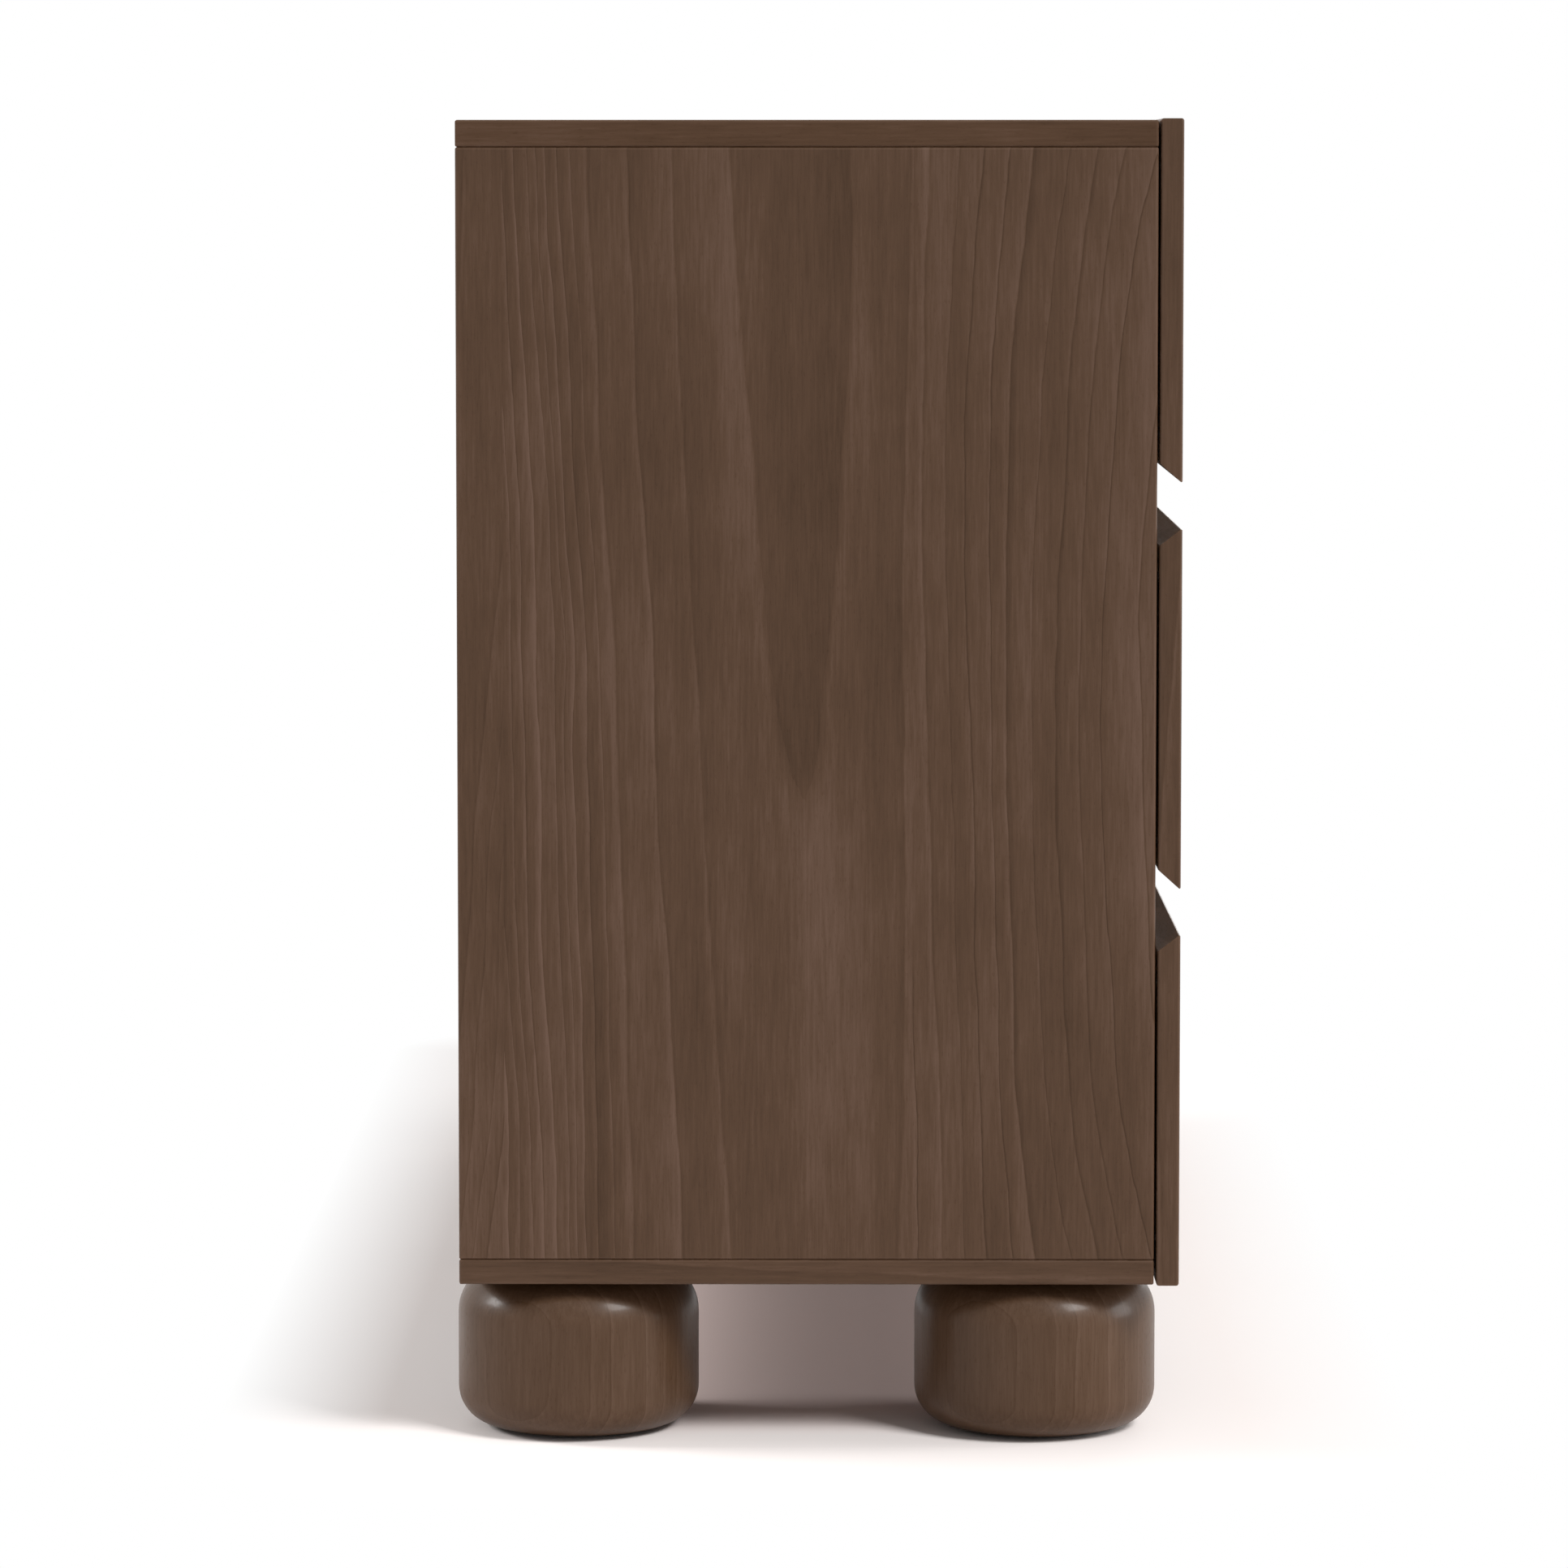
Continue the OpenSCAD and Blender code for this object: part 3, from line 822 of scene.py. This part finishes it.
def draw_profile(shape: Shape, edges: Iterable[Any], radius: float, rings: Iterable[Pair]) -> None:
    """Draws a ring of edges out along a profile, and closes the last ring.

    Args:
        shape: The shape.
        edges: The ring's edges.
        radius: The ring's radius.
        rings: The radius and the height of each further ring.
    """
    for wide, height in rings:
        edges = draw_out(shape, edges, wide / radius, height)
        radius = wide
    bmesh.ops.holes_fill(shape, edges=edges, sides=0)


def spun(profile: Sequence[Pair], centre: Vector, steps: int) -> Shape:
    """Turns a profile around an upright axis.

    Args:
        profile: The radius and the height of each point, from the axis back to the axis.
        centre: A point on the axis, from which the heights count.
        steps: The number of steps round the turn.

    Returns:
        The turned shape.
    """
    shape = bmesh.new()
    verts = [shape.verts.new((centre.x + r, centre.y, centre.z + z)) for r, z in profile]
    edges = [shape.edges.new(pair) for pair in zip(verts, verts[1:])]
    bmesh.ops.spin(
        shape,
        geom=verts + edges,
        cent=centre,
        axis=UP,
        dvec=(0.0, 0.0, 0.0),
        angle=math.tau,
        steps=steps,
        use_merge=True,
    )
    return shape


def arc(x: float, z: float, radius: float, start: float, stop: float) -> list[Pair]:
    """Returns the points of an arc in a profile, around x and z, with its angles in degrees."""
    angles = [math.radians(start + (stop - start) * i / ARC_STEPS) for i in range(ARC_STEPS + 1)]
    return [(x + radius * math.cos(a), z + radius * math.sin(a)) for a in angles]


def spaced(start: float, stop: float, pitch: float) -> list[float]:
    """Returns even places from start to stop, about a pitch apart."""
    count = round((stop - start) / pitch)
    return [start + (stop - start) * i / count for i in range(count + 1)]


@dataclass(frozen=True)
class Fastener:
    """The head of a screw or bolt, and the shank under it."""

    head_d: float
    head_h: float
    drive: Drive = Drive.CROSS
    recess_w: float = 0.52  # as a share of the head
    recess_h: float = 1.2 * MM
    crown: float = 1.0  # how round the head is, from 0 for a flat one to 1
    shank_d: float = 0.0
    shank_l: float = 0.0  # 0 for a head alone
    chamfer: float = 0.8 * MM  # at the shank's end

    # How wide the bottom of a recess is, as a share of its rim.
    TAPERS = {Drive.CROSS: 0.55, Drive.HEXAGON: 0.98}

    def recess(self, shape: Shape) -> list[Any]:
        """Makes the recess up to its rim.

        Args:
            shape: An empty shape.

        Returns:
            The edges of the rim.
        """
        half = self.head_d * self.recess_w / 2
        if self.drive is Drive.CROSS:
            bmesh.ops.create_grid(shape, x_segments=3, y_segments=3, size=half)
            middles = {f: f.calc_center_median() for f in shape.faces}
            corners = [f for f, at in middles.items() if min(abs(at.x), abs(at.y)) > half / 3]
            bmesh.ops.delete(shape, geom=corners, context="FACES")
        else:
            sides = self.drive.value
            bmesh.ops.create_circle(shape, cap_ends=True, segments=sides, radius=half)
        taper = self.TAPERS[self.drive]
        bmesh.ops.scale(shape, vec=(taper, taper, 1.0), verts=shape.verts)
        lift(shape.verts, self.head_h - self.recess_h)
        return draw_out(shape, [e for e in shape.edges if e.is_boundary], 1 / taper, self.head_h)

    def pattern(self) -> bpy.types.Mesh:
        """Makes one fastener to repeat, with its seat at the origin and its head upwards.

        Returns:
            The fastener's mesh.
        """
        shape = bmesh.new()
        rim = self.recess(shape)
        radius, height, crown = self.head_d / 2, self.head_h, self.crown
        flat = 0.92 - 0.24 * crown
        shoulder = flat + (1 - flat) * 0.72
        circle = {"cap_ends": False, "segments": 24, "radius": radius * flat}
        ring = bmesh.ops.create_circle(shape, **circle)["verts"]
        lift(ring, height)
        edges = list(dict.fromkeys(edge for vert in ring for edge in vert.link_edges))
        bmesh.ops.bridge_loops(shape, edges=rim + edges)
        rings = [
            (radius * shoulder, height * (0.96 - 0.16 * crown)),
            (radius, height * (0.82 - 0.42 * crown)),
            (radius, 0.0),
        ]
        if self.shank_l:
            shank = self.shank_d / 2
            rings += [(shank, 0.0), (shank, self.chamfer - self.shank_l)]
            rings.append((shank - self.chamfer, -self.shank_l))
        draw_profile(shape, edges, radius * flat, rings)
        return to_mesh(shape, "fastener_pattern")


@dataclass(frozen=True)
class Bumper:
    """A soft dome that a drawer front closes against, lower than the gap that it closes."""

    width: float = 6.0 * MM
    height: float = 1.2 * MM

    # The rings of the dome, as shares of its radius and its height.
    DOME = ((0.3, 1.0), (0.6, 0.93), (0.85, 0.72), (0.97, 0.4), (1.0, 0.0))

    def pattern(self) -> bpy.types.Mesh:
        """Makes one bumper to repeat, with its seat at the origin and its dome upwards.

        Returns:
            The bumper's mesh.
        """
        shape = bmesh.new()
        (top, height), *rings = [(r * self.width / 2, z * self.height) for r, z in self.DOME]
        bmesh.ops.create_circle(shape, cap_ends=True, segments=20, radius=top)
        lift(shape.verts, height)
        draw_profile(shape, [e for e in shape.edges if e.is_boundary], top, rings)
        return to_mesh(shape, "bumper_pattern")


def repeated(pattern: bpy.types.Mesh, seats: Iterable[Seat]) -> Shape:
    """Repeats a pattern, each one turned a little further.

    Args:
        pattern: The mesh to repeat, which is removed.
        seats: Where each one sits and which way it faces.

    Returns:
        The shape with all of them.
    """
    shape = bmesh.new()
    for number, (place, towards) in enumerate(seats):
        known = len(shape.verts)
        shape.from_mesh(pattern)
        shape.verts.ensure_lookup_table()
        facing = Vector(towards).to_track_quat("Z", "Y").to_matrix().to_4x4()
        turn = Matrix.Rotation(math.radians(37.0 * number % 90), 4, "Z")
        moved = Matrix.Translation(place) @ facing @ turn
        bmesh.ops.transform(shape, matrix=moved, verts=shape.verts[known:])
    bpy.data.meshes.remove(pattern)
    return shape


def backdrop_rays(g: Graph) -> Socket:
    """Tells the rays that show the background: the camera's, and those of metal and glass.

    Args:
        g: The graph of the material.

    Returns:
        1 for such a ray, otherwise 0.
    """
    path = g.node("LightPath").outputs
    mirrored = g.math("MAXIMUM", path["Is Glossy Ray"], path["Is Transmission Ray"])
    return g.math("MAXIMUM", path["Is Camera Ray"], mirrored)


@dataclass(frozen=True)
class Lamp:
    """A square soft lamp that looks at the dresser's middle."""

    name: str
    towards: Triple  # the direction from the dresser to the lamp
    distance: float
    size: float
    strength: float  # at 1, a card that faces the lamp shows in its own colour

    MIDDLE = Vector((0.0, 0.0, 0.42))

    def hang(self) -> Thing:
        """Hangs the lamp in the scene.

        Returns:
            The lamp.
        """
        data = bpy.data.lights.new(self.name, "AREA")
        data.shape, data.size = "SQUARE", self.size
        data.energy = self.strength * math.pi * self.distance**2 * math.pi
        made = to_scene(self.name, data)
        direction = Vector(self.towards).normalized()
        made.location = self.MIDDLE + direction * self.distance
        made.rotation_mode = "QUATERNION"
        made.rotation_quaternion = direction.to_track_quat("Z", "Y")
        return made


@dataclass(frozen=True)
class Floor:
    """A round pale floor that keeps the shadow near the dresser and turns white further out."""

    radius: float = 14.0
    pale: tuple[Colour, Colour] = ((254, 246, 243), (255, 250, 248))
    painted_warm_bounce: Colour = (254, 233, 228)  # painted warm bounce light, as the brown wood would throw it, deep under the dresser
    painted_bounce_pool: tuple[Colour, Colour] = ((250, 241, 237), (186, 182, 180))  # what it throws back: brighter near the dresser, a painted pool of bounce light that lights its lower parts more
    half: Pair = (0.70, 0.23)  # how far the dresser reaches from its middle along X and Y
    painted_warm_bounce_over: Pair = (-0.05, -0.13)  # from where to where the painted bounce begins, outwards
    shadow_x: Pair = (0.21, 0.91)  # the middle and the half length of the shadow's place
    white_over: Pair = (0.05, 0.16)
    painted_bounce_pool_over: Pair = (0.5, 1.6)

    def material(self) -> Material:
        """Builds the floor's material.

        Returns:
            The material.
        """
        made, g, shader, where = start_material("pale_floor")
        x, y, _ = g.split(where["Object"])
        mottle = g.noise(g.vector(x, y, 0.0), scale=3.0, detail=3.0)
        pale = g.mix(mottle, *map(linear, self.pale), Mixed.COLOUR)
        past_x = g.less(g.math("ABSOLUTE", x), self.half[0])
        past_y = g.less(g.math("ABSOLUTE", y), self.half[1])
        # Painted warm bounce light: the floor seen by the camera turns pinker deep under the dresser.
        under = g.remap(g.math("MAXIMUM", past_x, past_y), *self.painted_warm_bounce_over)
        pale = g.mix(under, pale, linear(self.painted_warm_bounce), Mixed.COLOUR)
        middle, reach = self.shadow_x
        away_x = g.positive(g.less(g.math("ABSOLUTE", g.less(x, middle)), reach))
        away_y = g.positive(past_y)
        away = g.math("SQRT", g.add(g.times(away_x, away_x), g.times(away_y, away_y)))
        # Painted pool of bounce light: the colour thrown back is bright near the dresser and grey
        # further out.
        further = g.remap(away, *self.painted_bounce_pool_over)
        painted_bounce_pool = g.mix(further, *map(linear, self.painted_bounce_pool), Mixed.COLOUR)
        seen = backdrop_rays(g)
        colour = g.mix(seen, painted_bounce_pool, pale, Mixed.COLOUR)
        g.join(shader, Base_Color=colour, Roughness=0.9, Specular_IOR_Level=0.1)
        white = g.join(g.node("Emission"), Strength=1.0)[0]
        whiter = g.times(g.remap(away, *self.white_over), seen)
        mixed = g.node("MixShader", whiter, shader.outputs[0], white)
        g.join(g.tree.nodes["Material Output"], Surface=mixed.outputs[0])
        return made

    def lay(self) -> None:
        """Lays the floor."""
        shape = bmesh.new()
        bmesh.ops.create_circle(shape, cap_ends=True, segments=96, radius=self.radius)
        floor = to_scene("floor", to_mesh(shape, "floor"))
        floor.data.materials.append(self.material())


@dataclass
class Studio:
    """The floor, the light and the camera, whose angles are in degrees."""

    level: Sequence[Thing]  # nodes in which the lamp behind the dresser must not mirror
    camera_place: Triple = (-4.6, -0.0009, 0.80)
    pitch: float = 4.343  # downwards
    yaw: float = 0.303  # to its left
    lens: float = 143.02
    sensor: float = 36.0
    shift: float = -0.08
    sky: float = 0.36
    lamps: tuple[Lamp, ...] = (
        Lamp("key_lamp", (-0.54, -0.54, 0.65), 12.0, 3.6, 0.80),
        Lamp("side_lamp", (-0.05, -0.97, 0.22), 6.0, 2.4, 0.40),
        Lamp("far_lamp", (0.93, -0.25, 0.27), 6.0, 3.0, 0.18),
    )
    rim: Lamp = Lamp("rim_lamp", (0.0, 0.906, 0.423), 5.0, 1.4, 0.62)
    floor: Floor = Floor()

    def build(self) -> None:
        """Builds the whole studio."""
        self.set_camera()
        for lamp in self.lamps:
            lamp.hang()
        self.light_from_behind()
        self.light_world()
        self.floor.lay()

    def set_camera(self) -> None:
        """Sets the camera at the photograph's place."""
        camera = bpy.data.cameras.new("camera")
        camera.lens, camera.sensor_width, camera.shift_y = self.lens, self.sensor, self.shift
        camera.clip_end = 60.0
        made = to_scene("camera", camera)
        made.location = self.camera_place
        made.rotation_euler = (math.radians(90 - self.pitch), 0.0, math.radians(-90 + self.yaw))
        bpy.context.scene.camera = made

    def light_from_behind(self) -> None:
        """Hangs the rim lamp twice: off the level faces, and on them alone without its mirror."""
        for suffix, state in (("", "EXCLUDE"), ("_on_level", "INCLUDE")):
            lamp = replace(self.rim, name=self.rim.name + suffix).hang()
            receivers = bpy.data.collections.new(lamp.name + "_receivers")
            for node in self.level:
                receivers.objects.link(node)
            for entry in receivers.collection_objects:
                entry.light_linking.link_state = state
            lamp.light_linking.receiver_collection = receivers
            lamp.visible_glossy = state == "EXCLUDE"

    def light_world(self) -> None:
        """Lights the room evenly, and shows it white to the camera and in metal."""
        world = bpy.data.worlds.new("room")
        world.use_nodes = True
        g = Graph(world.node_tree)
        strength = g.mix(backdrop_rays(g), self.sky, 1.0)
        g.join(g.tree.nodes["Background"], Color=(1.0, 1.0, 1.0, 1.0), Strength=strength)
        bpy.context.scene.world = world


@dataclass
class Assembly:
    """A part of the dresser that is dressed and built as one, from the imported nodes."""

    nodes: dict[str, Thing]

    def dress(self, name: str, material: Material, eased: float = 0.0) -> None:
        """Gives a node one material all over.

        Args:
            name: The node.
            material: The material.
            eased: How wide its edges are broken, as sandpaper does before the stain, or 0.
        """
        node = self.nodes[name]
        node.data.materials.clear()
        node.data.materials.append(material)
        if eased:
            bevel = node.modifiers.new("eased_edges", "BEVEL")
            bevel.width, bevel.segments = eased, 2
            bevel.limit_method, bevel.angle_limit = "ANGLE", math.radians(40)
            bevel.use_clamp_overlap = True
        LOG.info("dressed %s in %s", name, material.name)


@dataclass
class Case(Assembly):
    """The case: its panels, partition, rails, back and runner members."""

    edge: float = 0.5 * MM  # how wide the edges of its boards are broken
    back_screw: Fastener = Fastener(6.6 * MM, 1.8 * MM)
    screw_inset: float = 4.5 * MM
    screw_pitch: float = 165 * MM

    def wood(self, name: str, face: Board, end: Board | None = None, **rest: Any) -> None:
        """Stains one board. Its finish and the wood group's inputs are among the rest."""
        made = rest.pop("finish", STAINED).material(name, face, end, **rest)
        self.dress(name, made, self.edge)

    def dress_boards(self) -> None:
        """Gives each board its own figure."""
        face = Board(Axis.Z, Axis.Y, (0.0076, -0.686, 0.430))
        self.wood("left_side_panel", face, Lean=0.022, Spread=1.8)
        self.wood("right_side_panel", Board(Axis.Z, Axis.Y, (0.05, 0.686, 0.30), flip=True))
        face = Board(Axis.X, Axis.Y, (0.04, 0.841, 0.1))
        end = Board(Axis.Y, Axis.Z, (0.79, -0.686, 0.0))
        self.wood("top_panel", face, end, finish=TABLE_TOP, Spread=0.4)
        face = Board(Axis.X, Axis.Y, (-0.05, 0.104, -0.2))
        end = Board(Axis.Y, Axis.Z, (0.06, -0.686, 0.3))
        self.wood("bottom_panel", face, end, Spread=0.4)
        self.wood("centre_partition", Board(Axis.Z, Axis.Y, (0.1, 0.0, 0.2)))
        face = Board(Axis.Z, Axis.X, (0.2, 0.224, 0.5))
        self.wood("back_panel", face, Spread=0.25, Strip_Width=0.34)
        for gap, heart in (("upper", 0.52), ("lower", 0.21)):
            for side in COLUMNS:
                self.wood(f"{gap}_{side}_rail", Board(Axis.X, Axis.Z, (heart, -0.2, 0.4)))

    def screw_back(self) -> None:
        """Screws the back panel to the case and the partition."""
        low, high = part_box("back_panel")
        inset, pitch = self.screw_inset, self.screw_pitch
        xs = spaced(low.x + inset, high.x - inset, pitch)
        zs = spaced(low.z + inset, high.z - inset, pitch)
        places = [(x, z) for x in xs for z in (zs[0], zs[-1])]
        places += [(x, z) for z in zs[1:-1] for x in (xs[0], 0.0, xs[-1])]
        shape = repeated(self.back_screw.pattern(), [((x, high.y, z), BACK) for x, z in places])
        made = BOLT_ZINC.material("back_screws")
        add_piece(shape, "back_panel_screws", "case", made)

    def build(self) -> None:
        """Dresses the boards and the runner members, and adds the screws of the back."""
        self.dress_boards()
        self.dress("case_runners", ZINC.material("case_runners"))
        self.screw_back()


@dataclass
class Drawer(Assembly):
    """One drawer with its front, box, runner members and small hardware."""

    row: int  # from 0 at the top
    column: int  # 0 at the left
    edge: float = 0.9 * MM  # how wide the edges of its front are broken
    front_screw: Fastener = Fastener(9.0 * MM, 2.6 * MM, recess_h=1.6 * MM)
    front_shares: Pair = (0.32, 0.74)  # how high these lie, as shares of the box's height
    screw_apart: float = 205 * MM  # from the drawer's middle
    member_screw: Fastener = Fastener(7.0 * MM, 1.8 * MM)
    wall_screw: Fastener = Fastener(  # flat enough for the ball cages to pass
        7.6 * MM, 0.3 * MM, recess_h=1.1 * MM, crown=0.3, shank_d=4.2 * MM, shank_l=1.2 * MM
    )
    sheet: float = 1.2 * MM  # the thickness of the runners' steel
    space: float = 13 * MM  # between the box and the wall
    screw_ends: float = 34 * MM  # from the runners' front ends
    screw_slots: float = 52 * MM  # from the runners' middle
    bumper: Bumper = Bumper()
    bumper_z: float = 30 * MM  # from the front's upper and lower edges
    bumper_x: float = 0.61  # as a share of the partition's half

    # For each row, where the heart of the front's figure lies: how far above its middle, how far
    # along it, and how high on its end.
    HEARTS = ((0.018, 0.31, -0.27), (-0.024, -0.17, -0.15), (0.03, 0.06, -0.33))

    @property
    def name(self) -> str:
        """The row and the column, as in the nodes' names."""
        return f"{ROWS[self.row]}_{COLUMNS[self.column]}"

    def dress_front(self) -> None:
        """Gives the front its veneer, which runs on from the left to the right column."""
        name = f"{self.name}_front"
        low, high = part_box(name)
        above, along, on_end = self.HEARTS[self.row]
        middle = (low.z + high.z) / 2 + above
        face = Board(Axis.X, Axis.Z, (middle, low.y, along), flip=self.row == 1)
        outer = low.x if self.column == 0 else high.x
        end = Board(Axis.Z, Axis.Y, (on_end, outer, 0.3))
        made = STAINED.material(name, face, end, Seam=-0.15, Strip_Width=0.31, Tilt=0.05)
        self.dress(name, made, self.edge)

    def dress_box(self) -> None:
        """Gives the box its birch and its plywood bottom, and the runner members their zinc."""
        shift = 0.37 * self.row + 0.21 * self.column
        boards = {
            "box_front": (BIRCH, Board(Axis.X, Axis.Z, (0.45 + shift, -0.21, 0.2))),
            "box_back": (BIRCH, Board(Axis.X, Axis.Z, (0.25 + shift, 0.2, -0.1))),
            "box_sides": (BIRCH, Board(Axis.Y, Axis.Z, (0.5 + shift, 0.3, 0.1))),
            "box_bottom": (PLYWOOD, Board(Axis.X, Axis.Y, (0.05 + 0.1 * self.row, 0.1, 0.2))),
        }
        for piece, (finish, board) in boards.items():
            name = f"{self.name}_{piece}"
            self.dress(name, finish.material(name, board))
        for name in (f"{self.name}_runners", f"{self.name}_runner_middles"):
            self.dress(name, ZINC.material(name))

    def screw_front(self) -> None:
        """Screws the box to its front from inside."""
        low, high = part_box(f"{self.name}_box_front")
        middle, tall = (low.x + high.x) / 2, high.z - low.z
        xs = (middle - self.screw_apart, middle + self.screw_apart)
        zs = [low.z + tall * share for share in self.front_shares]
        seats = [((x, high.y, z), BACK) for x in xs for z in zs]
        shape = repeated(self.front_screw.pattern(), seats)
        name = f"{self.name}_front_screws"
        add_piece(shape, name, f"{self.name}_drawer", BOLT_ZINC.material(name))

    def screw_runners(self) -> None:
        """Screws the drawer members to the box and the case members to the walls."""
        low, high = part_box(f"{self.name}_runner_middles")
        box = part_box(f"{self.name}_box_sides")
        middle, height = (low.y + high.y) / 2, (low.z + high.z) / 2
        ys = (low.y + self.screw_ends, middle - self.screw_slots, middle + self.screw_slots)
        member, wall = [], []
        for side, face in ((-1.0, box[0].x), (1.0, box[1].x)):
            on_box, on_wall = (face + side * off for off in (self.sheet, self.space - self.sheet))
            member += [((on_box, y, height), (side, 0.0, 0.0)) for y in ys]
            wall += [((on_wall, y, height), (-side, 0.0, 0.0)) for y in ys]
        made = BOLT_ZINC.material(f"{self.name}_runner_screws")
        for kind, screw, seats, body in (
            ("member", self.member_screw, member, f"{self.name}_drawer"),
            ("wall", self.wall_screw, wall, "case"),
        ):
            shape = repeated(screw.pattern(), seats)
            add_piece(shape, f"{self.name}_{kind}_screws", body, made)

    def put_bumpers(self) -> None:
        """Puts soft bumpers on the back of the front, where it meets the case."""
        low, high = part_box(f"{self.name}_front")
        panel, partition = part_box(f"{COLUMNS[self.column]}_side_panel"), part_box("centre_partition")
        side = -1 if self.column == 0 else 1
        xs = (partition[1].x * self.bumper_x * side, (panel[0].x + panel[1].x) / 2)
        zs = (low.z + self.bumper_z, high.z - self.bumper_z)
        shape = repeated(self.bumper.pattern(), [((x, high.y, z), BACK) for x in xs for z in zs])
        made = RUBBER.material(f"rubber_{self.name}_bumpers")
        add_piece(shape, f"{self.name}_bumpers", f"{self.name}_drawer", made)

    def build(self) -> None:
        """Dresses the drawer and adds its hardware."""
        self.dress_front()
        self.dress_box()
        self.screw_front()
        self.screw_runners()
        self.put_bumpers()


@dataclass
class Stands(Assembly):
    """The four turned feet, the centre leg, their glides and their bolts."""

    top_r: float = 30 * MM
    low_r: float = 24 * MM
    leg_r: float = 6 * MM  # at both rims
    bore_r: float = 4.3 * MM
    bore_h: float = 45 * MM
    bolt: Fastener = Fastener(
        22 * MM, 3 * MM, Drive.HEXAGON, 0.24, recess_h=2.4 * MM, crown=0.35, shank_d=8 * MM
    )
    steps: int = 96  # round a foot

    def turn(self, name: str, top_r: float, low_r: float) -> None:
        """Turns one foot or the leg, as round as the lathe makes it.

        Args:
            name: The node that it stands for.
            top_r: The rounding of its upper rim.
            low_r: The rounding of its lower rim.
        """
        low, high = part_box(name)
        centre = Vector(((low.x + high.x) / 2, (low.y + high.y) / 2, low.z))
        r, h = (high.x - low.x) / 2, high.z - low.z
        profile = [(0.0, h - self.bore_h), (self.bore_r, h - self.bore_h), (self.bore_r, h)]
        profile += arc(r - top_r, h - top_r, top_r, 90, 0)
        profile += arc(r - low_r, low_r, low_r, 0, -90)
        profile.append((0.0, 0.0))
        heart = (centre.y + 0.24, centre.x - 0.30, 0.12 + 0.1 * centre.y)
        made = TURNED.material(name, Board(Axis.Z, Axis.Y, heart))
        shape = spun(profile, centre, self.steps)
        piece = add_piece(shape, "turned_" + name, "case", made)
        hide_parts(name)

    def put_bolts(self) -> None:
        """Puts in the bolts, with a hexagon socket in each head."""
        low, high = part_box("foot_bolts")
        seat = high.z - self.bolt.head_h
        seats = []
        for name in (*FEET, "centre_leg"):
            a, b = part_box(name)
            seats.append((((a.x + b.x) / 2, (a.y + b.y) / 2, seat), UP))
        shape = repeated(replace(self.bolt, shank_l=seat - low.z).pattern(), seats)
        made = BOLT_ZINC.material("socket_bolts")
        piece = add_piece(shape, "socket_bolts", "case", made)
        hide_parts("foot_bolts")

    def build(self) -> None:
        """Turns the feet and the leg, puts in the bolts and dresses the glides."""
        for name in FEET:
            self.turn(name, self.top_r, self.low_r)
        self.turn("centre_leg", self.leg_r, self.leg_r)
        self.put_bolts()
        self.dress("foot_glides", GLIDE.material("glide_pads"))


def main() -> None:
    """Builds the studio and dresses the dresser, piece by piece."""
    logging.basicConfig(level=logging.INFO, format="%(name)s: %(message)s")
    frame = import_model()
    bpy.context.scene.view_settings.view_transform = "Standard"
    nodes = frame["nodes"]
    level = ("top_panel", "upper_left_front", "upper_right_front")
    Studio([nodes[name] for name in level]).build()
    Case(nodes).build()
    for row in range(len(ROWS)):
        for column in range(len(COLUMNS)):
            Drawer(nodes, row, column).build()
    Stands(nodes).build()


if __name__ == "__main__":
    main()
